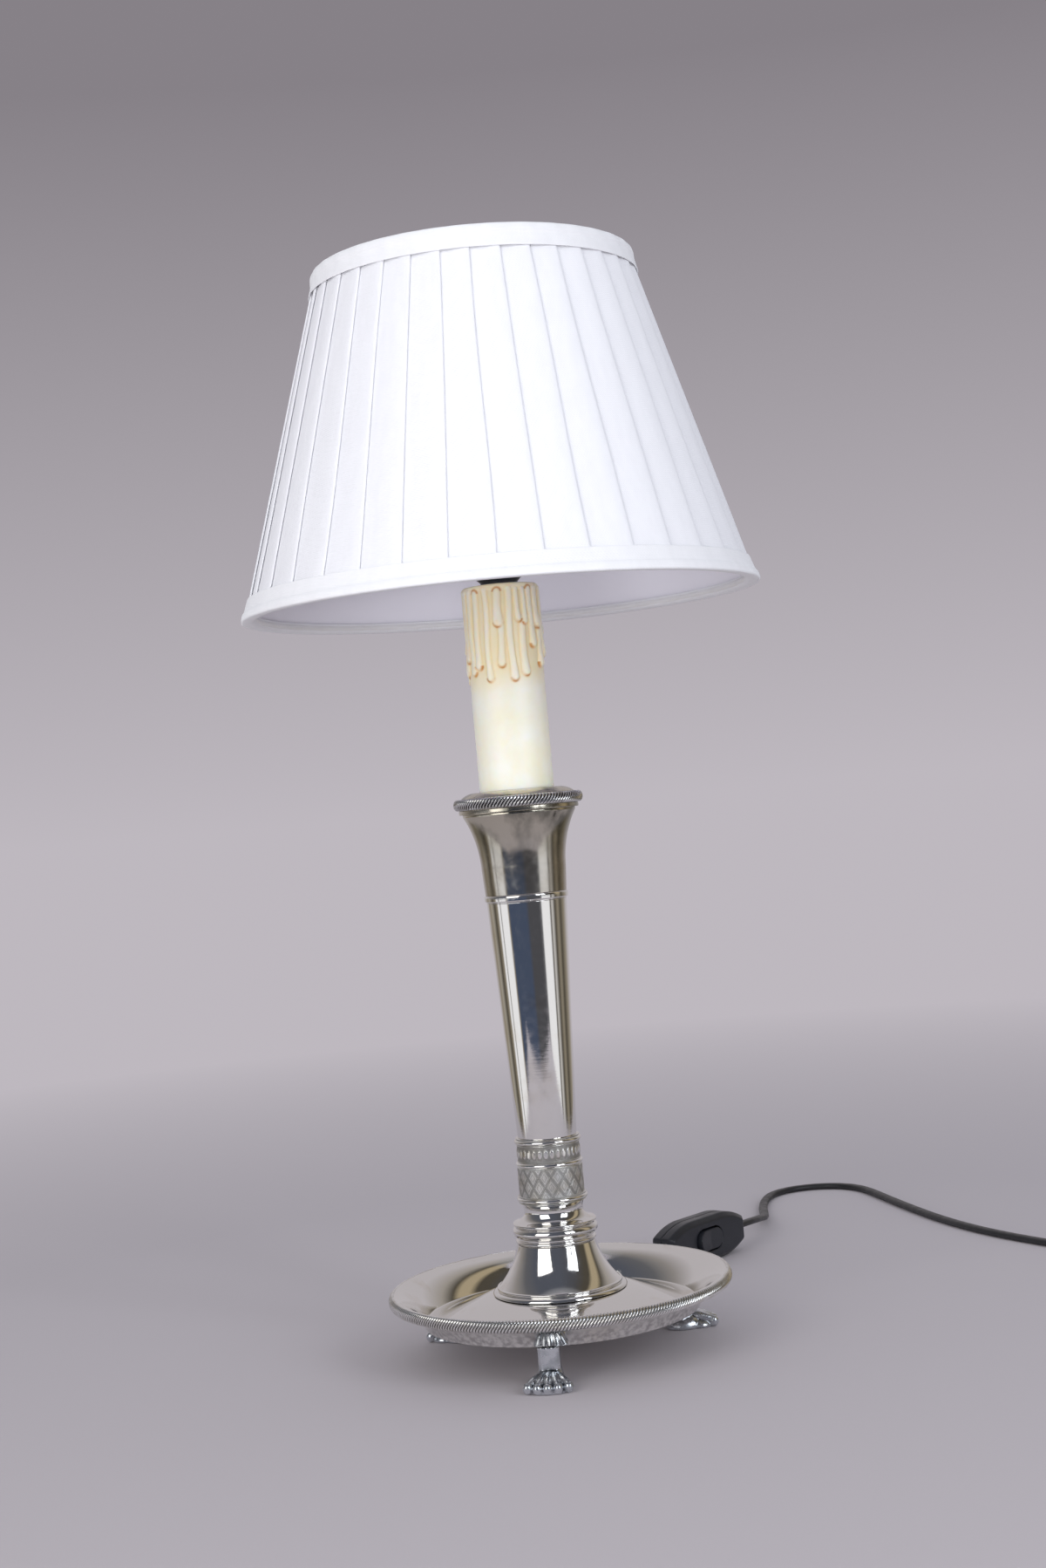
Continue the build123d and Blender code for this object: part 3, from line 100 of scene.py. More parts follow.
# %% Helpers for finishes
def shader_node(tree, kind, sockets, **options):
    """One shader node with its options and sockets set; a socket takes a value or another node's output."""
    made = tree.nodes.new("ShaderNode" + kind)
    for name, value in options.items():
        setattr(made, name, value)
    for name, value in sockets.items():
        if isinstance(value, bpy.types.NodeSocket):
            tree.links.new(value, made.inputs[name])
        else:
            made.inputs[name].default_value = value
    return made


def noise(tree, scale, detail=3.0, stretch=(1, 1, 1)):
    """Noise over the piece's own metres, squeezed along an axis where stretch is large."""
    place = shader_node(tree, "TexCoord", {}).outputs["Object"]
    scaled = shader_node(tree, "Mapping", {"Vector": place, "Scale": stretch}).outputs["Vector"]
    return shader_node(tree, "TexNoise", {"Vector": scaled, "Scale": scale, "Detail": detail}).outputs[0]


def span(tree, value, start, end, low=0.0, high=1.0):
    """Value taken from start..end to low..high, held at both ends."""
    return shader_node(tree, "MapRange", {
        "Value": value, "From Min": start, "From Max": end, "To Min": low, "To Max": high}).outputs[0]


MIX_FIRST, MIX_SECOND, MIX_RESULT = 6, 7, 2


def mixed(tree, share, first, second):
    """Colour that goes from first to second as share goes from 0 to 1."""
    ends = [c if isinstance(c, bpy.types.NodeSocket) else (*c, 1.0) for c in (first, second)]
    return shader_node(tree, "Mix", {0: share, MIX_FIRST: ends[0], MIX_SECOND: ends[1]},
                       data_type="RGBA").outputs[MIX_RESULT]


def maths(tree, operation, first, second):
    """Two numbers put together."""
    return shader_node(tree, "Math", {0: first, 1: second}, operation=operation).outputs[0]


def feed(tree, bsdf, socket, value):
    """Drive one socket of a node from another node."""
    tree.links.new(value, bsdf.inputs[socket])


def bumped(tree, bsdf, height, depth, strength=1.0):
    """Relief too fine for the mesh, depth in metres; it stacks on a bump that is there already."""
    sockets = {"Height": height, "Distance": depth, "Strength": strength}
    for link in bsdf.inputs["Normal"].links:
        sockets["Normal"] = link.from_socket
    feed(tree, bsdf, "Normal", shader_node(tree, "Bump", sockets).outputs["Normal"])


finish = {}


def new_finish(slot, colour, roughness, **sockets):
    """Principled material for one slot of the record; the underscores in a socket's name are spaces."""
    material = bpy.data.materials.new(slot)
    material.use_nodes = True
    tree = material.node_tree
    bsdf = tree.nodes["Principled BSDF"]
    bsdf.inputs["Base Color"].default_value = (*colour, 1.0)
    bsdf.inputs["Roughness"].default_value = roughness
    for name, value in sockets.items():
        bsdf.inputs[name.replace("_", " ")].default_value = value
    finish[slot] = material
    return tree, bsdf


def clouded(slot, colour, roughness, shades, scale, gloss=None, gloss_scale=None, detail=3.0, **sockets):
    """Finish that wanders between two shades, and over a range of roughness where one is given."""
    tree, bsdf = new_finish(slot, colour, roughness, **sockets)
    feed(tree, bsdf, "Base Color", mixed(tree, noise(tree, scale, detail), *shades))
    if gloss:
        feed(tree, bsdf, "Roughness", span(tree, noise(tree, gloss_scale, detail), 0.3, 0.7, *gloss))
    return tree, bsdf


print("finish helpers ready")

# %% [markdown]
# The lamp stands on a sheet of grey-mauve paper that runs up behind it. A bent backdrop would stand in the
# way of the other views, so the floor is one wide disc whose paper fades, with distance, to the colour that
# the world shows to the camera. Metal shows whatever is round it, so glossy rays see the paper end at its
# edges and a plain room beyond, a row of colours by azimuth: a dark blue evening on the camera's side, light
# bands beside it, warm wood on both flanks and pale paper behind.

# %% Paper floor
BACKDROP = (0.515, 0.482, 0.522)
PAPER, PAPER_GRAIN = (0.600, 0.556, 0.570), 0.97
PAPER_FADE = (0.45, 1.5)
PAPER_FRONT_EDGE, PAPER_SIDE_EDGE = (-0.665, -0.675), (0.50, 0.53)
FLOOR_RADIUS, FLOOR_DROP = 6.0, -0.0003
PALE, LIGHT = (0.50, 0.47, 0.49), (0.88, 0.88, 0.90)
NIGHT, DUSK, EVENING = (0.060, 0.078, 0.125), (0.072, 0.072, 0.080), (0.085, 0.092, 0.116)
WOOD, AMBER_WOOD, DARK_WOOD = (0.27, 0.235, 0.18), (0.40, 0.33, 0.22), (0.075, 0.065, 0.05)
ROOM_FLOOR = (
    (-180, PALE), (-155, PALE), (-135, WOOD), (-122, (0.36, 0.33, 0.28)), (-108, DARK_WOOD), (-96, WOOD),
    (-91, LIGHT), (-86, LIGHT), (-84, DARK_WOOD), (-81, LIGHT), (-60, LIGHT), (-57, WOOD), (-53, NIGHT),
    (-4, NIGHT), (4, DUSK), (34, DUSK), (40, (0.16, 0.16, 0.17)), (43, LIGHT), (66, LIGHT),
    (70, DARK_WOOD), (76, (0.60, 0.58, 0.56)), (86, DARK_WOOD), (98, WOOD), (110, DARK_WOOD), (128, WOOD),
    (150, PALE), (180, PALE))


def compass(tree, place):
    """Share of a full turn round the lamp, from behind over the left and the camera's side to the right."""
    axes = shader_node(tree, "SeparateXYZ", {0: place}).outputs
    turn = maths(tree, "ARCTAN2", axes["X"], maths(tree, "MULTIPLY", axes["Y"], -1.0))
    return span(tree, turn, -math.pi, math.pi)


def colour_row(tree, share, stops):
    """Colour at a share of a full turn, from a row of (degrees from the camera's side, colour)."""
    row = shader_node(tree, "ValToRGB", {0: share})
    elements = row.color_ramp.elements
    elements[0].color = (*stops[0][1], 1.0)
    elements[1].color = (*stops[-1][1], 1.0)
    for degrees, colour in stops[1:-1]:
        elements.new((degrees + 180) / 360).color = (*colour, 1.0)
    return row.outputs[0]


def from_form(name, form):
    """Object with the shape of an edit mesh, which is freed."""
    mesh = bpy.data.meshes.new(name)
    form.to_mesh(mesh)
    form.free()
    return placed(name, mesh)


floor_form = bmesh.new()
bmesh.ops.create_circle(floor_form, cap_ends=True, segments=96, radius=FLOOR_RADIUS)
floor = from_form("floor", floor_form)
floor.location.z = FLOOR_DROP

paper = bpy.data.materials.new("backdrop_paper")
paper.use_nodes = True
tree = paper.node_tree
lit = tree.nodes["Principled BSDF"]
lit.inputs["Roughness"].default_value = 0.9
lit.inputs["Specular IOR Level"].default_value = 0.1
feed(tree, lit, "Base Color", mixed(tree, noise(tree, 900.0), PAPER, [c * PAPER_GRAIN for c in PAPER]))
surface = shader_node(tree, "NewGeometry", {}).outputs
on_paper = surface["Position"]
flat_place = shader_node(tree, "VectorMath", {0: on_paper, 1: (1, 1, 0)}, operation="MULTIPLY").outputs[0]
distance = shader_node(tree, "VectorMath", {0: flat_place}, operation="LENGTH").outputs["Value"]
sides = shader_node(tree, "SeparateXYZ", {0: on_paper}).outputs
past_front = span(tree, sides["Y"], *PAPER_FRONT_EDGE)
past_side = span(tree, maths(tree, "ABSOLUTE", sides["X"], 0.0), *PAPER_SIDE_EDGE)
glossy = shader_node(tree, "LightPath", {}).outputs["Is Glossy Ray"]
past_edge = maths(tree, "MULTIPLY", maths(tree, "MAXIMUM", past_front, past_side), glossy)
far = shader_node(tree, "Emission", {"Color": (*BACKDROP, 1.0)})
room = shader_node(tree, "Emission", {"Color": colour_row(tree, compass(tree, on_paper), ROOM_FLOOR)})
clear = shader_node(tree, "BsdfTransparent", {})
layers = ((span(tree, distance, *PAPER_FADE), far), (past_edge, room), (surface["Backfacing"], clear))
shown = lit
for share, beyond in layers:
    shown = shader_node(tree, "MixShader", {0: share, 1: shown.outputs[0], 2: beyond.outputs[0]})
feed(tree, tree.nodes["Material Output"], "Surface", shown.outputs[0])
floor.data.materials.append(paper)
print("paper with", len(ROOM_FLOOR), "colours past its edges")

# %% [markdown]
# The world gives a plain fill light. A picture of a room could show in the metal, but no picture is loaded
# here, so glossy rays see a second row of colours by azimuth under a grey ceiling. The camera, and what it
# sees through glass, gets the plain backdrop, made darker towards the top by painted shade.

# %% World
SHADED_BACKDROP_TOP, BACKDROP_RISE = (0.240, 0.220, 0.243), 0.32
FILL_LIGHT = (0.49, 0.50, 0.55)
CEILING, CEILING_RISE = (0.36, 0.36, 0.38), (0.90, 0.985)
ROOM = (
    (-180, PALE), (-145, PALE), (-118, (0.27, 0.25, 0.24)), (-95, (0.12, 0.12, 0.13)), (-66, EVENING),
    (0, EVENING), (45, DUSK), (72, DARK_WOOD), (82, DARK_WOOD), (90, AMBER_WOOD), (102, AMBER_WOOD),
    (110, DARK_WOOD), (124, (0.34, 0.31, 0.28)), (150, PALE), (180, PALE))
world = bpy.data.worlds.new("studio")
world.use_nodes = True
bpy.context.scene.world = world
tree = world.node_tree
direction = shader_node(tree, "TexCoord", {}).outputs["Generated"]
rise = shader_node(tree, "SeparateXYZ", {0: direction}).outputs["Z"]
walls = colour_row(tree, compass(tree, direction), ROOM)
roofed = mixed(tree, span(tree, rise, *CEILING_RISE), walls, CEILING)
rays = shader_node(tree, "LightPath", {}).outputs
lighting = mixed(tree, rays["Is Glossy Ray"], FILL_LIGHT, roofed)
plain = maths(tree, "MAXIMUM", rays["Is Camera Ray"], rays["Is Transmission Ray"])
# Painted shade: the backdrop that the camera sees darkens towards the top.
backdrop = mixed(tree, span(tree, rise, 0.0, BACKDROP_RISE), BACKDROP, SHADED_BACKDROP_TOP)
feed(tree, tree.nodes["Background"], "Color", mixed(tree, plain, lighting, backdrop))
print("room with", len(ROOM), "colours round the lamp")

# %% [markdown]
# Daylight comes from a large window on the left and a narrow one with a mullion on the right. All are area
# lamps, because those also show in the metal as clean white panes, which the turned pieces draw into
# streaks. A low card in front throws light up under the shade, and the metal doesn't show it.

# %% Windows
WINDOW_TARGET = Vector((0, 0, 0.24))


def window(name, azimuth, distance, height, size, watts, colour, in_metal=True):
    """A soft window at an angle from the camera's side, negative to the left."""
    light = bpy.data.lights.new(name, "AREA")
    light.shape = "RECTANGLE"
    light.size, light.size_y = size
    light.energy = watts
    light.color = colour
    lamp = placed(name, light)
    turn = math.radians(azimuth)
    lamp.location = (math.sin(turn) * distance, -math.cos(turn) * distance, height)
    lamp.rotation_euler = (WINDOW_TARGET - lamp.location).to_track_quat("-Z", "Y").to_euler()
    lamp.visible_camera = False
    lamp.visible_glossy = in_metal


window("left_window", -39, 1.7, 0.80, (1.15, 1.35), 9.4, (1.0, 0.985, 0.96))
window("right_window_near", 33, 1.8, 0.85, (0.34, 1.2), 5.4, (0.90, 0.94, 1.0))
window("right_window_far", 47, 1.8, 0.85, (0.38, 1.2), 5.4, (0.90, 0.94, 1.0))
window("low_card", -14, 2.0, 0.10, (1.4, 0.18), 13.0, (0.96, 0.965, 1.0), in_metal=False)
print(len(bpy.data.lights), "lamps")

# %% [markdown]
# The cord is a black flat twin flex, 5.4 mm wide and 3.4 mm thick. A bevelled curve could show it, but a
# bevel can't keep the flat side down, so a smooth NURBS line is laid through the route's points, and a
# flat-oval section is carried along the points read back from it. The spare length lies in a tied coil out
# of the picture; its half turns are worked out in a loop.

# %% Cord: the route
FLAT_WIDTH, FLAT_THICKNESS = 5.4, 3.4
ON_FLOOR = FLAT_THICKNESS / 2
SWITCH_CENTRE = (80.0, 172.0, 12.5)
SWITCH_AZIMUTH = math.radians(48)
COIL_ENTRY = (296.0, 88.0)
COIL_HEADING = math.radians(-56)
COIL_LOWER, COIL_UPPER = 2.8, 6.5
PLUG_AXIS = 6.85
POINTS_PER_HALF_TURN = 12
FIRST_RADIUS = 36
HALF_TURNS = ((FIRST_RADIUS, COIL_LOWER), (33, COIL_LOWER), (30, COIL_LOWER), (27, COIL_LOWER), (24, None),
              (27, COIL_UPPER), (30, COIL_UPPER), (33, COIL_UPPER), (36, COIL_UPPER), (39, COIL_UPPER))


def on_switch(along):
    """Point on the switch's long axis, from its middle."""
    return (SWITCH_CENTRE[0] + along * math.cos(SWITCH_AZIMUTH),
            SWITCH_CENTRE[1] + along * math.sin(SWITCH_AZIMUTH), SWITCH_CENTRE[2])


def in_coil(x, y, z):
    """Point in the coil's own frame: Y along the cord as it enters, X across it from the coil's middle."""
    out = x - FIRST_RADIUS
    return (COIL_ENTRY[0] + y * math.cos(COIL_HEADING) + out * math.sin(COIL_HEADING),
            COIL_ENTRY[1] + y * math.sin(COIL_HEADING) - out * math.cos(COIL_HEADING), z)


lead_route = [
    (0, 0, 19.2), (0, 0, 11.5), (1.6, 3.7, 6.0), (4.5, 10.0, 2.6), (9.6, 21.5, ON_FLOOR),
    (15.2, 41, ON_FLOOR), (21.8, 62, ON_FLOOR), (29, 83, 2.6), (36.5, 103.5, 6.0), (42.5, 121.5, 10.2),
    on_switch(-46), on_switch(-28)]
run_route = [
    on_switch(28), on_switch(46), (121, 231, 9.4), (125.5, 254, 5.2), (127.6, 277, 2.6),
    (129.4, 300.5, ON_FLOOR), (133, 323, ON_FLOOR), (139.2, 342, ON_FLOOR), (151.2, 354, ON_FLOOR),
    (167.7, 358.1, ON_FLOOR), (184, 353.2, ON_FLOOR), (195.4, 340.5, ON_FLOOR), (201.2, 321.4, ON_FLOOR),
    (206, 298, ON_FLOOR), (211.5, 273, ON_FLOOR), (217.5, 248, ON_FLOOR), (224.5, 222, ON_FLOOR),
    (233, 197, ON_FLOOR), (243.5, 172.5, ON_FLOOR), (256, 149.5, ON_FLOOR), (269, 128.5, ON_FLOOR),
    in_coil(FIRST_RADIUS, -26, COIL_LOWER), in_coil(FIRST_RADIUS, -6, COIL_LOWER)]
coil_x, side = FIRST_RADIUS, 1
for radius, level in HALF_TURNS:
    for step in range(POINTS_PER_HALF_TURN):
        share = step / POINTS_PER_HALF_TURN
        climb = COIL_LOWER + (COIL_UPPER - COIL_LOWER) * share if level is None else level
        turn = math.pi * share
        across = coil_x - side * radius * (1 - math.cos(turn))
        run_route.append(in_coil(across, side * radius * math.sin(turn), climb))
    coil_x -= side * 2 * radius
    side = -side
run_route += [in_coil(coil_x, 0, COIL_UPPER), in_coil(coil_x, 20, COIL_UPPER), in_coil(coil_x, 37, 6.7),
              in_coil(coil_x, 57, PLUG_AXIS), in_coil(coil_x, 77, PLUG_AXIS)]
print(len(lead_route), "and", len(run_route), "route points")

# %% Cord: a smooth line, and meshes of rings
def smooth_line(name, route):
    """Points in metres along the NURBS line that has the route as its control points."""
    curve = bpy.data.curves.new(name, "CURVE")
    curve.dimensions = "3D"
    spline = curve.splines.new("NURBS")
    spline.points.add(len(route) - 1)
    for point, place in zip(spline.points, route):
        point.co = (*(c * MM for c in place), 1.0)
    spline.order_u = 3
    spline.use_endpoint_u = True
    spline.resolution_u = 7
    holder = placed(name, curve)
    bpy.context.view_layer.update()
    read = bpy.data.meshes.new_from_object(holder)
    line = [vertex.co.copy() for vertex in read.vertices]
    bpy.data.objects.remove(holder)
    return line


def new_piece(name, points, faces, sharp=40):
    """Mesh object from points in metres, smooth but for edges sharper than an angle."""
    mesh = bpy.data.meshes.new(name)
    mesh.from_pydata(points, [], faces)
    mesh.update()
    mesh.shade_smooth()
    mesh.set_sharp_from_angle(angle=math.radians(sharp))
    return placed(name, mesh)


def tube_faces(rings, sides, ends):
    """Quads that join rings of points in a row; its ends are capped, open, or joined to each other."""
    faces = []
    for ring in range(rings if ends == "joined" else rings - 1):
        here, there = ring * sides, (ring + 1) % rings * sides
        for side in range(sides):
            beside = (side + 1) % sides
            faces.append((here + side, here + beside, there + beside, there + side))
    if ends == "capped":
        faces.append(tuple(reversed(range(sides))))
        faces.append(tuple(range((rings - 1) * sides, rings * sides)))
    return faces


lead_line = smooth_line("lead_line", lead_route)
run_line = smooth_line("run_line", run_route)
for line in (lead_line, run_line):
    print("cord", round(sum((b - a).length for a, b in zip(line, line[1:])), 3), "m")

# %% Cord: the flat section along the line
def dress(piece, body, slot, *nodes):
    """Give a piece its finish and its body, and hide the solids that it stands for."""
    piece.data.materials.clear()
    piece.data.materials.append(finish[slot])
    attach(piece, body)
    if nodes:
        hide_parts(*nodes)
    return piece


SECTION_SIDES = 20
GROOVE_DEPTH, GROOVE_WIDTH = 0.10, 0.55
STEEP = 0.5
flat_section = []
for step in range(SECTION_SIDES):
    turn = 2 * math.pi * (step + 0.5) / SECTION_SIDES
    core = (FLAT_WIDTH - FLAT_THICKNESS) / 2 * math.copysign(1, math.cos(turn))
    across = core + ON_FLOOR * math.cos(turn)
    groove = 1 - GROOVE_DEPTH * math.exp(-(across / GROOVE_WIDTH) ** 2)
    flat_section.append((across * MM, ON_FLOOR * math.sin(turn) * groove * MM))


def flat_cord(name, line):
    """Flat-oval cord along a line, its broad side kept level."""
    heads = [(line[min(i + 1, len(line) - 1)] - line[max(i - 1, 0)]).normalized() for i in range(len(line))]
    points = []
    level = Vector((0, 0, 1))
    broad = next(head.cross(level).normalized() for head in heads if head.to_2d().length > STEEP)
    for place, head in zip(line, heads):
        if head.to_2d().length > STEEP:
            broad = head.cross(level).normalized()
        thin = broad.cross(head).normalized()
        points += [place + broad * a + thin * b for a, b in flat_section]
    return new_piece(name, points, tube_faces(len(line), SECTION_SIDES, "capped"), sharp=60)


tree, bsdf = new_finish("black_cord", (0.016, 0.016, 0.018), 0.40)
feed(tree, bsdf, "Roughness", span(tree, noise(tree, 260.0), 0.35, 0.7, 0.36, 0.50))
feed(tree, bsdf, "Base Color", mixed(tree, noise(tree, 90.0), (0.013, 0.013, 0.015), (0.022, 0.022, 0.024)))
bumped(tree, bsdf, noise(tree, 2200.0), 0.00005)
flex_lead = dress(flat_cord("flex_lead", lead_line), "lamp", "black_cord", "cord_lead")
flex_run = dress(flat_cord("flex_run", run_line), "lamp", "black_cord", "cord_run", "cord_coil", "cord_tail")
print("cords of", len(flex_lead.data.polygons), "and", len(flex_run.data.polygons), "faces")

# %% [markdown]
# The switch and the plug are moulded in black plastic, with every edge softly rounded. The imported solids
# have their forms with crisp edges. Bevelling a triangulated solid is unsafe, so a copy is voxel remeshed
# and eased with a few smoothing passes: that melts all the edges by the same small radius, inside corners
# too. The key is slimmed a little, so that it can tip in its opening.

# %% Moulded pieces of the cord
MOULD_VOXEL, MOULD_PASSES, PLUG_PASSES = 0.42, 8, 14
KEY_ROOM = 0.22
SAME_POINT = 1e-6


def melted(piece, voxel, passes):
    """Voxel remesh a piece, ease its edges, and keep the result as its mesh."""
    remesh = piece.modifiers.new("melt", "REMESH")
    remesh.mode = "VOXEL"
    remesh.voxel_size = voxel * MM
    ease = piece.modifiers.new("ease", "SMOOTH")
    ease.iterations = passes
    depsgraph = bpy.context.evaluated_depsgraph_get()
    piece.data = bpy.data.meshes.new_from_object(piece.evaluated_get(depsgraph))
    piece.modifiers.clear()
    piece.data.shade_smooth()
    return piece


def moulded_copy(name, node, passes, slimmed):
    """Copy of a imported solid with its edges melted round, and slimmed where it has to move."""
    form = bmesh.new()
    form.from_mesh(frame["nodes"][node].data)
    bmesh.ops.remove_doubles(form, verts=form.verts, dist=SAME_POINT)
    piece = melted(from_form(name, form), MOULD_VOXEL, passes)
    slim = [vertex.co - vertex.normal * slimmed * MM for vertex in piece.data.vertices]
    for vertex, place in zip(piece.data.vertices, slim):
        vertex.co = place
    return piece


tree, bsdf = clouded("black_plastic", (0.018, 0.020, 0.026), 0.34,
                     ((0.015, 0.017, 0.022), (0.024, 0.026, 0.033)), 60.0, (0.28, 0.42), 180.0)
bumped(tree, bsdf, noise(tree, 3500.0, 1.0), 0.00004)

for name, node, body, passes, slimmed in (
        ("switch_shell", "switch_front", "lamp", MOULD_PASSES, 0.0),
        ("switch_cover", "switch_back", "lamp", MOULD_PASSES, 0.0),
        ("switch_key", "switch_rocker", "rocker", MOULD_PASSES, KEY_ROOM),
        ("plug_moulding", "plug_body", "lamp", PLUG_PASSES, 0.0)):
    dress(moulded_copy(name, node, passes, slimmed), body, "black_plastic", node)

# %% [markdown]
# The strain relief is a ribbed sleeve, and the pins are turned: bodies of revolution about the plug's axis.
# A Screw modifier would turn them, but a small lathe in code also serves every turned piece of the stand
# later. It takes a profile as radius and height in millimetres, with an easing length at each corner.

# %% A lathe
EASE_STEPS, EASE_SHARE = 5, 0.49


def eased(profile):
    """Closed profile of (radius, height, ease) corners, each drawn round over its ease length."""
    points = []
    for number, (radius, height, ease) in enumerate(profile):
        corner = Vector((radius, height))
        if ease == 0:
            points.append(corner)
            continue
        before = Vector(profile[number - 1][:2]) - corner
        after = Vector(profile[(number + 1) % len(profile)][:2]) - corner
        start = corner + before.normalized() * min(ease, before.length * EASE_SHARE)
        end = corner + after.normalized() * min(ease, after.length * EASE_SHARE)
        for step in range(EASE_STEPS + 1):
            t = step / EASE_STEPS
            points.append(start * (1 - t) ** 2 + corner * 2 * t * (1 - t) + end * t ** 2)
    return points


def arc(start, end, bow, steps=14):
    """Points between two corners along a circle's arc, bowed to the left of the way from start to end."""
    start, end = Vector(start), Vector(end)
    chord = end - start
    half = chord.length / 2
    left = Vector((-chord.y, chord.x)).normalized()
    radius = (half ** 2 + bow ** 2) / (2 * bow)
    centre = (start + end) / 2 + left * (bow - radius)
    first = start - centre
    sweep = -2 * math.asin(half / abs(radius)) * math.copysign(1, bow)
    if abs(bow) > half:
        sweep = -math.copysign(2 * math.pi, bow) - sweep
    points = []
    for step in range(1, steps):
        cos, sin = math.cos(sweep * step / steps), math.sin(sweep * step / steps)
        out = centre.x + first.x * cos - first.y * sin
        up = centre.y + first.x * sin + first.y * cos
        points.append((out, up, 0))
    return points


def turned_piece(name, radius, angles, height, sharp=40):
    """Piece through rows of points, each at a radius, angle and height; its last row joins its first."""
    columns = np.broadcast_arrays(radius * np.cos(angles), radius * np.sin(angles), height)
    rows = np.stack(columns, axis=-1) * MM
    return new_piece(name, rows.reshape(-1, 3).tolist(), tube_faces(*rows.shape[:2], "joined"), sharp)


def lathe(name, profile, around=240, relief=None):
    """Closed turned piece about Z. Relief, a function of angle, radius and height, adds to the radius."""
    outline = np.array(eased(profile))
    angles = np.linspace(0, 2 * math.pi, around, endpoint=False)
    radius = np.repeat(outline[:, :1], around, axis=1)
    height = np.repeat(outline[:, 1:], around, axis=1)
    if relief is not None:
        radius = radius + relief(angles[None, :], radius, height)
    piece = turned_piece(name, radius, angles, height)
    if outline[:, 0].min() == 0:
        form = bmesh.new()
        form.from_mesh(piece.data)
        bmesh.ops.remove_doubles(form, verts=form.verts, dist=SAME_POINT)
        form.to_mesh(piece.data)
        form.free()
    even = piece.modifiers.new("even_normals", "WEIGHTED_NORMAL")
    even.keep_sharp = True
    return piece


def laid(piece, place, azimuth):
    """Lay a piece that was turned about Z on its side, its top pointing along an azimuth."""
    turn = Matrix.Rotation(azimuth, 4, "Z") @ Matrix.Rotation(math.pi / 2, 4, "Y")
    piece.data.transform(Matrix.Translation([c * MM for c in place]) @ turn)
    return piece


print("lathe with", EASE_STEPS, "steps to a corner")

# %% Strain relief and pins
TAIL_LENGTH = 77.05
RELIEF_LENGTH, RELIEF_RIBS, RELIEF_BORE = 20.0, 5, 2.9
RIB_FIRST, RIB_LAST, RIB_WIDTH, RIB_DEPTH = 3.9, 5.6, 2.5, 0.9
PLUG_LENGTH, PIN_LENGTH, PIN_RADIUS, PIN_SPACING = 34.0, 19.0, 2.0, 18.6
PIN_GROOVE, PIN_MIDDLE = 0.15, 9.8
rib_pitch = RELIEF_LENGTH / RELIEF_RIBS
ribs = [(RELIEF_BORE, 0, 0.2)]
for rib in range(RELIEF_RIBS):
    base = rib * rib_pitch
    outer = RIB_FIRST + (RIB_LAST - RIB_FIRST) * rib / (RELIEF_RIBS - 1)
    groove = outer - RIB_DEPTH
    ribs += [(outer, base, 0.5), (outer + 0.2, base + RIB_WIDTH, 0.5),
             (groove, base + RIB_WIDTH + 0.1, 0.3), (groove, base + rib_pitch - 0.1, 0.3)]
ribs += [(RIB_LAST, RELIEF_LENGTH, 0.2), (RELIEF_BORE, RELIEF_LENGTH, 0.2)]
relief_start = in_coil(coil_x, TAIL_LENGTH - RELIEF_LENGTH, PLUG_AXIS)
plug_sleeve = dress(laid(lathe("plug_sleeve", ribs, 48), relief_start, COIL_HEADING),
                    "lamp", "black_plastic", "plug_relief")

tree, bsdf = new_finish("plated_pin", (0.72, 0.70, 0.66), 0.22, Metallic=1.0)
feed(tree, bsdf, "Roughness", span(tree, noise(tree, 120.0, 4.0, (1, 1, 6)), 0.3, 0.7, 0.16, 0.34))
feed(tree, bsdf, "Base Color", mixed(tree, noise(tree, 150.0), (0.74, 0.72, 0.68), (0.60, 0.57, 0.52)))
pin_profile = [
    (0, 0, 0), (PIN_RADIUS, 0, 0), (PIN_RADIUS, PIN_MIDDLE - 0.2, 0.1),
    (PIN_RADIUS - PIN_GROOVE, PIN_MIDDLE - 0.1, 0.1), (PIN_RADIUS - PIN_GROOVE, PIN_MIDDLE + 0.1, 0.1),
    (PIN_RADIUS, PIN_MIDDLE + 0.2, 0.1), (PIN_RADIUS, PIN_LENGTH - 0.6, 0.5), (1.5, PIN_LENGTH, 0.6),
    (0, PIN_LENGTH, 0)]
pins = []
for mark, side in (("a", -1), ("b", 1)):
    pin_start = in_coil(coil_x + side * PIN_SPACING / 2, TAIL_LENGTH + PLUG_LENGTH, PLUG_AXIS)
    pins.append(laid(lathe("plug_pin_" + mark, pin_profile, 32), pin_start, COIL_HEADING))
dress(pins[0], "lamp", "plated_pin", "plug_pins")
dress(pins[1], "lamp", "plated_pin")
print("plug at", [round(c) for c in in_coil(coil_x, TAIL_LENGTH, PLUG_AXIS)])

# %% [markdown]
# A flat strap ties the spare coil. It is a rounded loop of tape through the coil's middle and round its
# turns, so it is drawn as a closed row of small rectangles that follows a rounded box.

# %% Tie
TIE_WIDTH, TIE_THICKNESS, TIE_CORNER = 5.0, 0.5, 1.6
TIE_INNER, TIE_OUTER, TIE_TOP = 20.4, 39.6, COIL_UPPER + FLAT_THICKNESS / 2 + 0.9
TIE_CORNER_STEPS = 6
tie_loop = []
for centre_y, centre_z, first in ((TIE_OUTER, TIE_TOP, 0), (TIE_INNER, TIE_TOP, 1), (TIE_INNER, 0, 2),
                                  (TIE_OUTER, 0, 3)):
    corner_y = centre_y - math.copysign(TIE_CORNER, centre_y - (TIE_INNER + TIE_OUTER) / 2)
    corner_z = centre_z - math.copysign(TIE_CORNER, centre_z - TIE_TOP / 2)
    for step in range(TIE_CORNER_STEPS + 1):
        turn = math.pi / 2 * (first + step / TIE_CORNER_STEPS)
        tie_loop.append((corner_y, corner_z, math.cos(turn), math.sin(turn)))
tie_points = []
